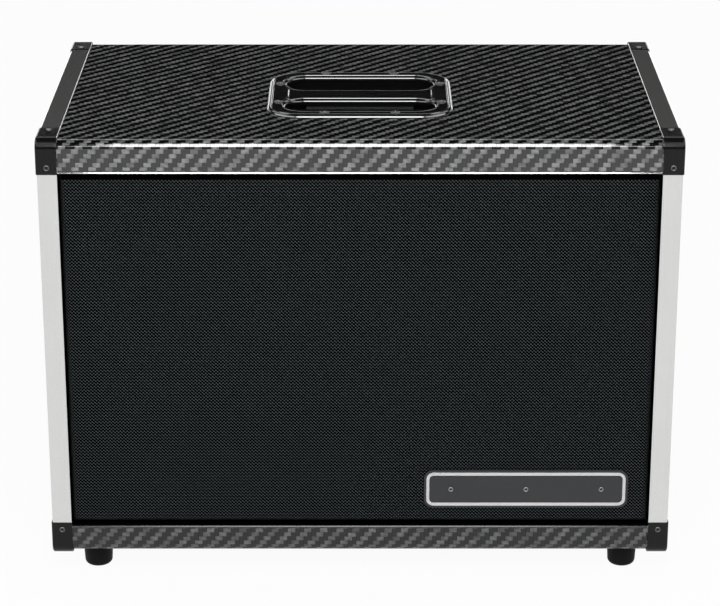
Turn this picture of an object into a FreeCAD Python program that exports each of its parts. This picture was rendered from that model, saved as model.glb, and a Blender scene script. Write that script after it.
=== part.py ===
import FreeCAD, Part
import math
import os
import Sketcher

# Guitar speaker cabinet with one 12-inch driver, as separate pieces, in millimetres.
# +Z is up, the front faces -Y, and the origin is on the floor under the middle of the box.

V = FreeCAD.Vector
X_AXIS, Y_AXIS, Z_AXIS = V(1, 0, 0), V(0, 1, 0), V(0, 0, 1)
ALL_SIDES = (-1, 1)

doc = FreeCAD.newDocument("speaker_cabinet")

SIZES = {
    # Box of boards, over its bare outside faces
    "shell_width": 572,
    "shell_depth": 342,
    "shell_height": 402,
    "side_thickness": 16.5,
    "panel_thickness": 12,
    "edge_radius": 8,
    # Turned-down lip of the top panel and turned-up lip of the bottom panel
    "lip_thickness": 14,
    "top_lip_height": 29.5,
    "bottom_lip_height": 26.5,
    "lip_radius": 1.5,
    # Angle strips on the side edges
    "strip_leg": 18,
    "strip_thickness": 1.5,
    "strip_radius": 1,
    # Pressed corner caps and their hollow rivets
    "cap_thickness": 1,
    "cap_rise": 33,
    "cap_run": 36,
    "cap_side_radius": 10,
    "rivet_edge_distance": 6.5,
    "rivet_side_inset": 12,
    "rivet_head_radius": 2.8,
    "rivet_head_height": 0.9,
    "rivet_shank_radius": 1.6,
    "rivet_eye_radius": 1.3,
    "rivet_length": 7,
    # Rubber feet
    "foot_height": 24,
    "foot_top_radius": 14,
    "foot_bottom_radius": 13,
    "foot_rounding": 4,
    "foot_inset": 39,
    "foot_setback": 30,
    "foot_recess_radius": 5.5,
    "foot_recess_depth": 14,
    "foot_screw_head_radius": 5,
    "foot_screw_head_height": 3,
    "foot_screw_radius": 2.2,
    "foot_screw_bite": 9,
    # Recessed bar handle in the top
    "handle_setback": 148.5,
    "handle_length": 171,
    "handle_width": 148,
    "handle_corner_radius": 30,
    "handle_plate": 3.2,
    "handle_end": 16.5,
    "handle_side": 15.5,
    "slot_radius": 19,
    "bar_width": 33,
    "bar_depth": 11,
    "bar_rounding": 4,
    "rim_rounding": 1.4,
    "cup_margin": 1,
    "cup_depth": 42,
    "cup_wall": 2,
    "cup_radius": 14,
    "cup_floor_radius": 7,
    "handle_screw_end": 10,
    "handle_screw_side": 7,
    "handle_screw_end_spacing": 62,
    "handle_screw_side_spacing": 65,
    "handle_screw_head_radius": 2.9,
    "handle_screw_head_height": 1.1,
    "handle_screw_radius": 1.6,
    "handle_screw_length": 11,
    # Baffle behind the grille
    "baffle_thickness": 18,
    "cleat": 16,
    # Grille that pulls off to the front
    "grille_recess": 3,
    "grille_side_gap": 2,
    "grille_end_gap": 4,
    "grille_stand_off": 0.5,
    "grille_frame_thickness": 14,
    "grille_member": 20,
    "grille_rounding": 3,
    "cloth_thickness": 0.8,
    "peg_radius": 4,
    "peg_length": 12,
    "peg_tip": 1,
    "peg_root_radius": 3,
    "peg_root_length": 8,
    "socket_wall": 2,
    "socket_floor": 1.5,
    "badge_length": 190,
    "badge_height": 38,
    "badge_thickness": 2,
    "badge_radius": 9,
    "badge_side_inset": 18,
    "badge_rise": 14,
    "badge_rivet_spacing": 70,
    "badge_rivet_head_radius": 1.9,
    "badge_rivet_head_height": 0.5,
    "badge_rivet_radius": 0.9,
    # Driver, along its axis from the front face of its flange
    "gasket_thickness": 4,
    "edge_land_thickness": 0.8,
    "edge_land": 5,
    "driver_room": 18,
    "flange_width": 17,
    "flange_thickness": 5,
    "cutout_width": 16,
    "basket_depth": 72,
    "basket_wall": 2.5,
    "seat_radius": 84,
    "seat_thickness": 4,
    "seat_bore": 40,
    "shelf_radius": 64,
    "shelf_width": 8,
    "shelf_height": 12,
    "window_inner": 92,
    "window_margin": 8,
    "window_inner_width": 56,
    "window_outer_width": 88,
    "window_count": 6,
    "edge_width": 9,
    "cone_lip": 5,
    "cone_front": 6,
    "cone_depth": 42,
    "cone_thickness": 1,
    "edge_thickness": 0.6,
    "edge_wave": 2.2,
    "edge_pleats": 6,
    "cap_dome_radius": 38,
    "cap_dome_height": 11,
    "cap_dome_thickness": 0.6,
    "pole_radius": 22,
    "pole_vent_radius": 8,
    "coil_clearance": 0.5,
    "former_wall": 0.3,
    "former_tail": 16,
    "coil_wall": 0.7,
    "coil_height": 12,
    "spider_thickness": 0.6,
    "spider_wave": 1.4,
    "spider_pleats": 8,
    "plate_radius": 62,
    "plate_thickness": 8,
    "magnet_radius": 78,
    "magnet_bore": 44,
    "magnet_thickness": 20,
    "back_plate_radius": 66,
    "back_plate_thickness": 8,
    "bolt_inset": 7.5,
    "bolt_count": 8,
    "bolt_radius": 2.4,
    "bolt_head_radius": 4.4,
    "bolt_head_height": 3.6,
    "tee_barrel_radius": 3.6,
    "tee_barrel_length": 11,
    "tee_flange_radius": 6,
    "tee_flange_thickness": 1.2,
    "terminal_width": 36,
    "terminal_height": 26,
    "terminal_thickness": 2,
    "terminal_spacing": 16,
    "terminal_reach": 12,
    "tag_width": 4,
    "tag_thickness": 0.8,
    "tag_length": 18,
    "coil_lead_radius": 0.6,
    "coil_lead_spread": 2,
    # Screwed rear panel with a recessed connector dish
    "rear_inset": 2,
    "rear_thickness": 12,
    "rear_screw_count": 4,
    "rear_screw_margin": 60,
    "rear_screw_head_radius": 4,
    "rear_screw_head_height": 1.6,
    "rear_screw_radius": 1.9,
    "rear_screw_length": 22,
    "dish_rise": 112,
    "dish_width": 116,
    "dish_height": 76,
    "dish_flange": 12,
    "dish_sheet": 2,
    "dish_depth": 26,
    "dish_screw_inset": 6,
    "jack_spacing": 44,
    "jack_body_width": 20,
    "jack_body_height": 18,
    "jack_body_length": 24,
    "jack_bush_radius": 4.7,
    "jack_bush_length": 12,
    "jack_bore_radius": 3.3,
    "jack_bore_depth": 30,
    "jack_nut_width": 13,
    "jack_nut_thickness": 2.5,
    "jack_tag_spacing": 10,
    "jack_tag_length": 8,
    "lead_radius": 1.2,
    "lead_spread": 6,
    "lead_sag": 14,
    # Clearances
    "fastener_clearance": 0.05,
    "peg_clearance": 0.1,
    "board_clearance": 0.3,
    "glue_gap": 0.3,
}

# Planes and places that follow from the sizes
PLACES = {
    "half_width": "size.shell_width / 2",
    "half_depth": "size.shell_depth / 2",
    "inner_half_width": "size.shell_width / 2 - size.side_thickness",
    "shell_bottom": "size.foot_height",
    "shell_top": "size.foot_height + size.shell_height",
    "shell_middle": "size.foot_height + size.shell_height / 2",
    "inner_bottom": "size.foot_height + size.panel_thickness",
    "inner_top": "size.foot_height + size.shell_height - size.panel_thickness",
    "opening_bottom": "size.foot_height + size.bottom_lip_height",
    "opening_top": "size.foot_height + size.shell_height - size.top_lip_height",
    "strip_x": "size.shell_width / 2 + size.strip_thickness",
    "strip_y": "size.shell_depth / 2 + size.strip_thickness",
    "strip_top": "size.foot_height + size.shell_height + size.strip_thickness",
    "cap_x": "size.shell_width / 2 + size.strip_thickness + size.cap_thickness",
    "cap_y": "size.shell_depth / 2 + size.strip_thickness + size.cap_thickness",
    "cap_top": "size.foot_height + size.shell_height + size.strip_thickness + size.cap_thickness",
    "grille_front": "-size.shell_depth / 2 + size.grille_recess",
    "frame_front": "-size.shell_depth / 2 + size.grille_recess + size.cloth_thickness",
    "grille_half_width": "size.shell_width / 2 - size.side_thickness - size.grille_side_gap",
    "grille_bottom": "size.foot_height + size.bottom_lip_height + size.grille_end_gap",
    "grille_top": "size.foot_height + size.shell_height - size.top_lip_height - size.grille_end_gap",
    "frame_back": "-size.shell_depth / 2 + size.grille_recess + size.cloth_thickness"
                  " + size.grille_frame_thickness",
    "baffle_front": "-size.shell_depth / 2 + size.grille_recess + size.cloth_thickness"
                    " + size.grille_frame_thickness + size.grille_stand_off",
    "rear_face": "size.shell_depth / 2 - size.rear_inset",
    "rear_front": "size.shell_depth / 2 - size.rear_inset - size.rear_thickness",
    "slot_length": "size.handle_length - 2 * size.handle_end",
    "slot_width": "(size.handle_width - size.bar_width) / 2 - size.handle_side",
    "handle_y": "-size.shell_depth / 2 - size.strip_thickness + size.handle_setback",
    "cup_length": "size.handle_length - 2 * size.handle_end + 2 * size.cup_margin + 2 * size.cup_wall",
    "cup_width": "size.handle_width - 2 * size.handle_side + 2 * size.cup_margin + 2 * size.cup_wall",
    "foot_x": "size.shell_width / 2 + size.strip_thickness - size.foot_inset",
    "foot_y": "size.shell_depth / 2 + size.strip_thickness - size.foot_setback",
    "flange_radius": "size.shell_height / 2 - size.panel_thickness - size.cleat - size.driver_room",
    "former_inner": "size.pole_radius + size.coil_clearance",
    "former_outer": "size.pole_radius + size.coil_clearance + size.former_wall",
    "coil_outer": "size.pole_radius + size.coil_clearance + size.former_wall + size.coil_wall",
    "seat_back": "size.basket_depth + size.seat_thickness",
    "magnet_front": "size.basket_depth + size.seat_thickness + size.plate_thickness",
    "magnet_back": "size.basket_depth + size.seat_thickness + size.plate_thickness"
                   " + size.magnet_thickness",
    "shelf_front": "size.basket_depth - size.shelf_height",
    "neck": "size.cone_front + size.cone_depth",
    "dish_z": "size.foot_height + size.dish_rise",
    "dish_cup_width": "size.dish_width - 2 * size.dish_flange",
    "dish_cup_height": "size.dish_height - 2 * size.dish_flange",
}

# Radii of the driver, from its flange inwards
DRIVER_RADII = {
    "bolt_circle": "at.flange_radius - size.bolt_inset",
    "cutout_radius": "at.flange_radius - size.cutout_width",
    "flange_inner_radius": "at.flange_radius - size.flange_width",
    "edge_land_radius": "at.flange_radius - size.flange_width + size.edge_land",
    "window_outer": "at.flange_radius - size.flange_width - size.window_margin",
    "cone_radius": "at.flange_radius - size.flange_width - size.edge_width",
}


def fill_sheet(name, cells):
    """A spreadsheet with one named cell for each entry."""
    sheet = doc.addObject("Spreadsheet::Sheet", name)
    for row, (alias, content) in enumerate(cells.items(), 1):
        sheet.set(f"A{row}", alias)
        sheet.set(f"B{row}", content)
        sheet.setAlias(f"B{row}", alias)
    return sheet


size = fill_sheet("size", {alias: str(value) for alias, value in SIZES.items()})
at = fill_sheet("at", {alias: "=" + formula for alias, formula in PLACES.items()})
driver = fill_sheet("driver", {alias: "=" + formula for alias, formula in DRIVER_RADII.items()})
doc.recompute()

BAFFLE_REAR = "at.baffle_front + size.baffle_thickness"
DRIVER_Y = f"{BAFFLE_REAR} + size.gasket_thickness + size.edge_land_thickness"
DRIVER_Z = "(at.opening_top + at.opening_bottom) / 2"
baffle_rear = at.baffle_front + size.baffle_thickness
driver_y = baffle_rear + size.gasket_thickness + size.edge_land_thickness
driver_z = (at.opening_top + at.opening_bottom) / 2

pieces = {}


def keep(label, made):
    """Name a finished piece, which becomes one node."""
    made.Label = label
    pieces[label] = made
    return made


# Building blocks


def block(name, x, y, z):
    """A rectangular block between a low and a high expression on each axis."""
    made = doc.addObject("Part::Box", name)
    for axis, extent, (low, high) in (("x", "Length", x), ("y", "Width", y), ("z", "Height", z)):
        made.setExpression(extent, f"({high}) - ({low})")
        made.setExpression(f"Placement.Base.{axis}", low)
    return made


def joined(kind, name, base, tool):
    """A boolean of two objects: kind is Cut, Fuse or Common."""
    made = doc.addObject(f"Part::{kind}", name)
    made.Base = base
    made.Tool = tool
    return made


def mirrored(name, source, normal, height=None):
    """The source reflected through the middle of the box, across the given direction."""
    made = doc.addObject("Part::Mirroring", name)
    made.Source = source
    made.Normal = normal
    if height:
        made.setExpression("Base.z", height)
    return made


def new_body(name):
    return doc.addObject("PartDesign::Body", name)


def sketch(body, name, role, corners, lift="0"):
    """A closed outline on an origin plane of its body, with each corner bound to two expressions."""
    made = body.newObject("Sketcher::SketchObject", name)
    plane = next(feature for feature in body.Origin.OriginFeatures if feature.Role == role)
    made.AttachmentSupport = [(plane, "")]
    made.MapMode = "FlatFace"
    made.setExpression("AttachmentOffset.Base.z", lift)
    count = len(corners)
    turn = 2 * math.pi / count
    start = [V(math.cos(turn * i), math.sin(turn * i), 0) for i in range(count)]
    for i in range(count):
        made.addGeometry(Part.LineSegment(start[i], start[(i + 1) % count]), False)
    for i in range(count):
        made.addConstraint(Sketcher.Constraint("Coincident", i, 2, (i + 1) % count, 1))
    for i, corner in enumerate(corners):
        for kind, place, value in zip(("DistanceX", "DistanceY"), start[i], corner):
            index = made.addConstraint(Sketcher.Constraint(kind, -1, 1, i, 1, place))
            made.setExpression(f"Constraints[{index}]", value)
    doc.recompute()
    return made


def rectangle(x, y):
    """The corners of a rectangle between low and high expressions."""
    return [(x[0], y[0]), (x[1], y[0]), (x[1], y[1]), (x[0], y[1])]


def centred(length, width, y_middle="0"):
    """The corners of a rectangle about a middle, from its two sides."""
    half = f"({length}) / 2"
    return rectangle(
        (f"-{half}", half), (f"{y_middle} - ({width}) / 2", f"{y_middle} + ({width}) / 2")
    )


def pad(body, name, profile, length, symmetric=False, downwards=False):
    made = body.newObject("PartDesign::Pad", name)
    made.Profile = profile
    made.setExpression("Length", length)
    made.SideType = "Symmetric" if symmetric else "One side"
    made.Reversed = downwards
    doc.recompute()
    return made


def pocket(body, name, profile, depth, upwards=False):
    made = body.newObject("PartDesign::Pocket", name)
    made.Profile = profile
    made.setExpression("Length", depth)
    made.Reversed = upwards
    doc.recompute()
    return made


def turned(label, corners, role="XZ_Plane"):
    """A solid of revolution about its body's own axis, from radius and height pairs."""
    body = new_body(label)
    profile = sketch(body, label + "_profile", role, corners)
    made = body.newObject("PartDesign::Revolution", label + "_turn")
    made.Profile = profile
    made.ReferenceAxis = (profile, ["V_Axis"])
    made.Angle = 360
    doc.recompute()
    return body


def rounded(body, name, radius, chosen):
    """Round the edges of the body's last feature that the test picks."""
    base = body.Tip
    edges = [f"Edge{i}" for i, edge in enumerate(base.Shape.Edges, 1) if chosen(edge)]
    made = body.newObject("PartDesign::Fillet", name)
    made.Base = (base, edges)
    made.setExpression("Radius", radius)
    doc.recompute()
    return made


def hollowed(body, name, wall, is_open):
    """Leave a wall inside the body's last feature, open at the faces that the test picks."""
    base = body.Tip
    faces = [f"Face{i}" for i, face in enumerate(base.Shape.Faces, 1) if is_open(face)]
    made = body.newObject("PartDesign::Thickness", name)
    made.Base = (base, faces)
    made.setExpression("Value", wall)
    made.Reversed = True
    doc.recompute()
    return made


def near(a, b):
    return abs(a - b) < 0.01


def runs_along(edge, direction):
    """Whether a straight edge is parallel to a direction."""
    if edge.Curve.TypeId != "Part::GeomLine":
        return False
    return abs(abs(edge.Curve.Direction.dot(direction)) - 1) < 1e-6


def middle_of(edge):
    return edge.BoundBox.Center


def facing(direction, spot):
    """A placement that turns local +Z to a direction, at a spot."""
    return FreeCAD.Placement(spot, FreeCAD.Rotation(Z_AXIS, direction))


def group(label, template, placements):
    """Identical solids of one template, as one node."""
    made = doc.addObject("Part::Feature", label)
    solids = []
    for placement in placements:
        solid = template.Shape.Solids[0].copy()
        solid.Placement = placement
        solids.append(solid)
    made.Shape = Part.makeCompound(solids)
    return keep(label, made)


def bores(name, radius, length, placements):
    """Round holes to cut, each running inwards from its placement along local -Z."""
    made = doc.addObject("Part::Feature", name)
    drill = Part.makeCylinder(radius, length, V(), -Z_AXIS)
    solids = []
    for placement in placements:
        solid = drill.copy()
        solid.Placement = placement
        solids.append(solid)
    made.Shape = Part.makeCompound(solids)
    return made


def screw(name, head_radius, head_height, radius, length):
    """A pan-head screw along local -Z, with a dimpled head standing on z = 0."""
    crown = f"{head_radius} * 0.8"
    dimple = f"{head_radius} / 2"
    return turned(name, [
        ("0", f"-({length})"),
        (radius, f"-({length})"),
        (radius, "0"),
        (head_radius, "0"),
        (head_radius, f"{head_height} / 2"),
        (crown, head_height),
        (dimple, head_height),
        ("0", f"{head_height} / 2"),
    ])


def tube(name, radius, points):
    """A round tube along straight runs, with the largest arcs that the runs allow at the corners."""
    share = 0.45
    edges = []
    last = points[0]
    for before, corner, after in zip(points, points[1:], points[2:]):
        back = (before - corner).normalize()
        ahead = (after - corner).normalize()
        reach = share * min(before.distanceToPoint(corner), after.distanceToPoint(corner))
        half_turn = (math.pi - back.getAngle(ahead)) / 2
        bend = reach / math.tan(half_turn)
        start, end = corner + back * reach, corner + ahead * reach
        inward = (back + ahead).normalize()
        top = corner + inward * (bend / math.cos(half_turn) - bend)
        edges.append(Part.LineSegment(last, start).toShape())
        edges.append(Part.Arc(start, top, end).toShape())
        last = end
        print(f"{name}: bend radius {bend:.1f} mm on a radius of {radius:.1f} mm")
    edges.append(Part.LineSegment(last, points[-1]).toShape())
    path = Part.Wire(edges)
    section = Part.Wire(Part.makeCircle(radius, points[0], points[1] - points[0]))
    made = path.makePipeShell([section], True, False)
    wanted = math.pi * radius ** 2 * path.Length
    print(f"{name}: volume {made.Volume:.1f}, section times length {wanted:.1f}")
    return Part.Solid(made) if made.ShapeType == "Shell" else made


# Rivets and screws come first, because the boards carry their holes


def corner_spots():
    """Each corner's three rivets, on the front or rear, the top or bottom, and the side leg."""
    across = at.strip_x - size.strip_leg / 2
    along = at.strip_y - size.cap_run + size.rivet_edge_distance
    up = at.cap_top - size.cap_rise + size.rivet_edge_distance - at.shell_middle
    side_along = at.strip_y - size.rivet_side_inset
    height = at.cap_top - at.shell_middle
    for sx in ALL_SIDES:
        for sy in ALL_SIDES:
            for sz in ALL_SIDES:
                level = at.shell_middle + sz * up
                yield facing(Y_AXIS * sy, V(sx * across, sy * at.cap_y, level))
                yield facing(Z_AXIS * sz, V(sx * across, sy * along, at.shell_middle + sz * height))
                yield facing(X_AXIS * sx, V(sx * at.cap_x, sy * side_along, level))


rivet = turned("rivet", [
    ("0", "-size.rivet_length"),
    ("size.rivet_shank_radius", "-size.rivet_length"),
    ("size.rivet_shank_radius", "0"),
    ("size.rivet_head_radius", "0"),
    ("size.rivet_head_radius", "size.rivet_head_height / 2"),
    ("size.rivet_head_radius - size.rivet_head_height / 2", "size.rivet_head_height"),
    ("size.rivet_eye_radius", "size.rivet_head_height"),
    ("size.rivet_eye_radius", "0"),
    ("0", "0"),
])
group("corner_rivets", rivet, corner_spots())
rivet_bores = bores(
    "rivet_bores", size.rivet_shank_radius + size.fastener_clearance, size.rivet_length, corner_spots()
)


def handle_screw_spots():
    """Two screws at each end of the handle's plate and two along each of its sides."""
    end = V(size.handle_length / 2 - size.handle_screw_end, size.handle_screw_end_spacing / 2)
    side = V(size.handle_screw_side_spacing / 2, size.handle_width / 2 - size.handle_screw_side)
    height = at.shell_top + size.handle_plate
    for sx in ALL_SIDES:
        for sy in ALL_SIDES:
            for spot in (end, side):
                yield facing(Z_AXIS, V(sx * spot.x, at.handle_y + sy * spot.y, height))


handle_screw = screw(
    "handle_screw", "size.handle_screw_head_radius", "size.handle_screw_head_height",
    "size.handle_screw_radius", "size.handle_screw_length",
)
group("handle_screws", handle_screw, handle_screw_spots())
handle_bores = bores(
    "handle_bores", size.handle_screw_radius + size.fastener_clearance, size.handle_screw_length,
    handle_screw_spots(),
)


def foot_places():
    for sx in ALL_SIDES:
        for sy in ALL_SIDES:
            yield sx, sy, V(sx * at.foot_x, sy * at.foot_y, 0)


def foot_screw_spots():
    for _, _, spot in foot_places():
        yield facing(-Z_AXIS, spot + V(0, 0, size.foot_recess_depth))


FOOT_SCREW_LENGTH = "size.foot_height - size.foot_recess_depth + size.foot_screw_bite"
foot_screw_length = size.foot_height - size.foot_recess_depth + size.foot_screw_bite
foot_screw = screw(
    "foot_screw", "size.foot_screw_head_radius", "size.foot_screw_head_height",
    "size.foot_screw_radius", FOOT_SCREW_LENGTH,
)
group("foot_screws", foot_screw, foot_screw_spots())
foot_bores = bores(
    "foot_bores", size.foot_screw_radius + size.fastener_clearance, foot_screw_length, foot_screw_spots()
)


def rear_screw_spots():
    """Screws along the rear panel's four edges, and one in each corner of the connector dish."""
    across = at.inner_half_width - size.cleat / 2
    low, high = at.inner_bottom + size.cleat / 2, at.inner_top - size.cleat / 2
    span = at.inner_half_width - size.rear_screw_margin
    step = 2 * span / (size.rear_screw_count - 1)
    for level in (low, high):
        for i in range(int(size.rear_screw_count)):
            yield facing(Y_AXIS, V(i * step - span, at.rear_face, level))
    for sx in ALL_SIDES:
        yield facing(Y_AXIS, V(sx * across, at.rear_face, at.shell_middle))


def dish_screw_spots():
    across = size.dish_width / 2 - size.dish_screw_inset
    up = size.dish_height / 2 - size.dish_screw_inset
    for sx in ALL_SIDES:
        for sz in ALL_SIDES:
            yield facing(Y_AXIS, V(sx * across, at.rear_face + size.dish_sheet, at.dish_z + sz * up))


rear_screw = screw(
    "rear_screw", "size.rear_screw_head_radius", "size.rear_screw_head_height",
    "size.rear_screw_radius", "size.rear_screw_length",
)
rear_spots = [*rear_screw_spots(), *dish_screw_spots()]
group("rear_screws", rear_screw, rear_spots)
rear_bores = bores(
    "rear_bores", size.rear_screw_radius + size.fastener_clearance, size.rear_screw_length, rear_spots
)


# Boards of the shell


def is_nose(edge, height):
    """Whether an edge is the front or rear edge of a panel at a height."""
    spot = middle_of(edge)
    return runs_along(edge, X_AXIS) and near(abs(spot.y), at.half_depth) and near(spot.z, height)


def lipped_panel(name, outside, inside, lip_edge, outside_height, lip_height):
    """A board with a lip along its front edge, rounded outside, from heights as expressions."""
    body = new_body(name)
    lip_back = "-at.half_depth + size.lip_thickness"
    profile = sketch(body, name + "_profile", "YZ_Plane", [
        ("-at.half_depth", outside),
        ("at.half_depth", outside),
        ("at.half_depth", inside),
        (lip_back, inside),
        (lip_back, lip_edge),
        ("-at.half_depth", lip_edge),
    ])
    pad(body, name + "_board", profile, "2 * at.inner_half_width", symmetric=True)
    rounded(body, name + "_nose", "size.edge_radius", lambda edge: is_nose(edge, outside_height))
    rounded(body, name + "_lip", "size.lip_radius", lambda edge: is_nose(edge, lip_height))
    return body


top_body = lipped_panel(
    "top_board", "at.shell_top", "at.inner_top", "at.opening_top", at.shell_top, at.opening_top
)
handle_hole = sketch(
    top_body, "handle_hole_outline", "XY_Plane",
    centred("at.cup_length + 2 * size.board_clearance", "at.cup_width + 2 * size.board_clearance",
            "at.handle_y"),
    lift="at.shell_top",
)
pocket(top_body, "handle_hole", handle_hole, "size.panel_thickness")
rounded(
    top_body, "handle_hole_corners", "size.cup_radius",
    lambda edge: runs_along(edge, Z_AXIS) and abs(middle_of(edge).x) < at.cup_length,
)
keep("top_panel", joined("Cut", "top_panel", top_body, handle_bores))

bottom_body = lipped_panel(
    "bottom_board", "at.shell_bottom", "at.inner_bottom", "at.opening_bottom",
    at.shell_bottom, at.opening_bottom,
)
keep("bottom_panel", joined("Cut", "bottom_panel", bottom_body, foot_bores))

side_body = new_body("side_board")
side_outline = sketch(
    side_body, "side_outline", "YZ_Plane",
    rectangle(("-at.half_depth", "at.half_depth"), ("at.shell_bottom", "at.shell_top")),
    lift="-at.half_width",
)
pad(side_body, "side_blank", side_outline, "size.side_thickness")
rounded(side_body, "side_corners", "size.edge_radius", lambda edge: runs_along(edge, X_AXIS))
left_side = keep("left_side_panel", joined("Cut", "left_side_panel", side_body, rivet_bores))
keep("right_side_panel", mirrored("right_side_panel", left_side, X_AXIS))

inner_x = ("-at.inner_half_width", "at.inner_half_width")
inner_z = ("at.inner_bottom", "at.inner_top")


def cleat_frame(name, y):
    """Four battens round the inside of the box, as separate blocks."""
    low = ("at.inner_bottom", "at.inner_bottom + size.cleat")
    high = ("at.inner_top - size.cleat", "at.inner_top")
    between = (low[1], high[0])
    left = ("-at.inner_half_width", "-at.inner_half_width + size.cleat")
    right = ("at.inner_half_width - size.cleat", "at.inner_half_width")
    return [
        block(name + "_bottom", inner_x, y, low),
        block(name + "_top", inner_x, y, high),
        block(name + "_left", left, y, between),
        block(name + "_right", right, y, between),
    ]


front_cleats = cleat_frame("front_cleat", (BAFFLE_REAR, f"{BAFFLE_REAR} + size.cleat"))
rear_cleats = cleat_frame("rear_cleat", ("at.rear_front - size.cleat", "at.rear_front"))
cleats = doc.addObject("Part::Compound", "cleats")
cleats.Links = front_cleats + rear_cleats
keep("panel_cleats", joined("Cut", "panel_cleats", cleats, rear_bores))

rear_board = block("rear_board", inner_x, ("at.rear_front", "at.rear_face"), inner_z)
dish_hole = block(
    "dish_hole",
    ("-at.dish_cup_width / 2 - size.board_clearance", "at.dish_cup_width / 2 + size.board_clearance"),
    ("at.rear_front", "at.rear_face"),
    ("at.dish_z - at.dish_cup_height / 2 - size.board_clearance",
     "at.dish_z + at.dish_cup_height / 2 + size.board_clearance"),
)
rear_cut = joined("Cut", "rear_cut", rear_board, dish_hole)
keep("rear_panel", joined("Cut", "rear_panel", rear_cut, rear_bores))


# Angle strips along the side edges


def angle_outline(u_out, v_out, u_sign, v_sign):
    """The corners of an angle section, from its outside corner and the way its legs run."""
    leg_u, wall_u = f"{u_out} {u_sign} size.strip_leg", f"{u_out} {u_sign} size.strip_thickness"
    leg_v, wall_v = f"{v_out} {v_sign} size.strip_leg", f"{v_out} {v_sign} size.strip_thickness"
    return [
        (u_out, v_out),
        (leg_u, v_out),
        (leg_u, wall_v),
        (wall_u, wall_v),
        (wall_u, leg_v),
        (u_out, leg_v),
    ]


post_body = new_body("front_strip_body")
post_outline = sketch(
    post_body, "front_strip_section", "XY_Plane", angle_outline("-at.strip_x", "-at.strip_y", "+", "+"),
    lift="at.shell_bottom + size.strip_leg",
)
pad(post_body, "front_strip_length", post_outline, "size.shell_height - 2 * size.strip_leg")
rounded(
    post_body, "front_strip_edge", "size.strip_radius",
    lambda edge: runs_along(edge, Z_AXIS) and near(middle_of(edge).x, -at.strip_x)
    and near(middle_of(edge).y, -at.strip_y),
)
left_front = keep("left_front_strip", joined("Cut", "left_front_strip", post_body, rivet_bores))
left_rear = keep("left_rear_strip", mirrored("left_rear_strip", left_front, Y_AXIS))

rail_body = new_body("top_strip_body")
rail_outline = sketch(
    rail_body, "top_strip_section", "XZ_Plane", angle_outline("-at.strip_x", "at.strip_top", "+", "-")
)
pad(rail_body, "top_strip_length", rail_outline, "2 * (at.half_depth - size.edge_radius)", symmetric=True)
rounded(
    rail_body, "top_strip_edge", "size.strip_radius",
    lambda edge: runs_along(edge, Y_AXIS) and near(middle_of(edge).x, -at.strip_x)
    and near(middle_of(edge).z, at.strip_top),
)
left_top = keep("left_top_strip", joined("Cut", "left_top_strip", rail_body, rivet_bores))
left_bottom = keep("left_bottom_strip", mirrored("left_bottom_strip", left_top, Z_AXIS, "at.shell_middle"))
for left_label, left_strip in (
    ("left_front_strip", left_front), ("left_rear_strip", left_rear),
    ("left_top_strip", left_top), ("left_bottom_strip", left_bottom),
):
    right_label = left_label.replace("left", "right")
    keep(right_label, mirrored(right_label, left_strip, X_AXIS))


# Pressed corner caps

cap_body = new_body("cap_body")
cap_outline = sketch(
    cap_body, "cap_outline", "YZ_Plane",
    rectangle(("-at.cap_y", "-at.strip_y + size.cap_run"), ("at.cap_top - size.cap_rise", "at.cap_top")),
    lift="-at.cap_x",
)
pad(cap_body, "cap_blank", cap_outline, "size.strip_leg + size.cap_thickness")
rounded(
    cap_body, "cap_bend", "size.edge_radius + size.strip_thickness + size.cap_thickness",
    lambda edge: runs_along(edge, X_AXIS) and near(middle_of(edge).y, -at.cap_y)
    and near(middle_of(edge).z, at.cap_top),
)
cap_far_y = size.cap_run - at.strip_y
cap_low_z = at.cap_top - size.cap_rise
rounded(
    cap_body, "cap_side_bend", "size.strip_radius + size.cap_thickness",
    lambda edge: near(edge.BoundBox.XMax, -at.cap_x)
    and not near(edge.BoundBox.YMin, cap_far_y) and not near(edge.BoundBox.ZMax, cap_low_z),
)
cap_inner_x = size.strip_leg - at.strip_x
hollowed(
    cap_body, "cap_press", "size.cap_thickness",
    lambda face: near(face.BoundBox.XMin, cap_inner_x) or near(face.BoundBox.YMin, cap_far_y)
    or near(face.BoundBox.ZMax, cap_low_z),
)
rounded(
    cap_body, "cap_side_corner", "size.cap_side_radius",
    lambda edge: runs_along(edge, X_AXIS) and near(middle_of(edge).y, cap_far_y)
    and near(middle_of(edge).z, cap_low_z),
)
caps = {(-1, -1, 1): joined("Cut", "corner_left_front_top", cap_body, rivet_bores)}
caps[(-1, 1, 1)] = mirrored("corner_left_rear_top", caps[(-1, -1, 1)], Y_AXIS)
for sy, end in ((-1, "front"), (1, "rear")):
    caps[(-1, sy, -1)] = mirrored(f"corner_left_{end}_bottom", caps[(-1, sy, 1)], Z_AXIS, "at.shell_middle")
    for sz, level in ((-1, "bottom"), (1, "top")):
        caps[(1, sy, sz)] = mirrored(f"corner_right_{end}_{level}", caps[(-1, sy, sz)], X_AXIS)
for cap in caps.values():
    keep(cap.Name, cap)


# Recessed handle

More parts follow.
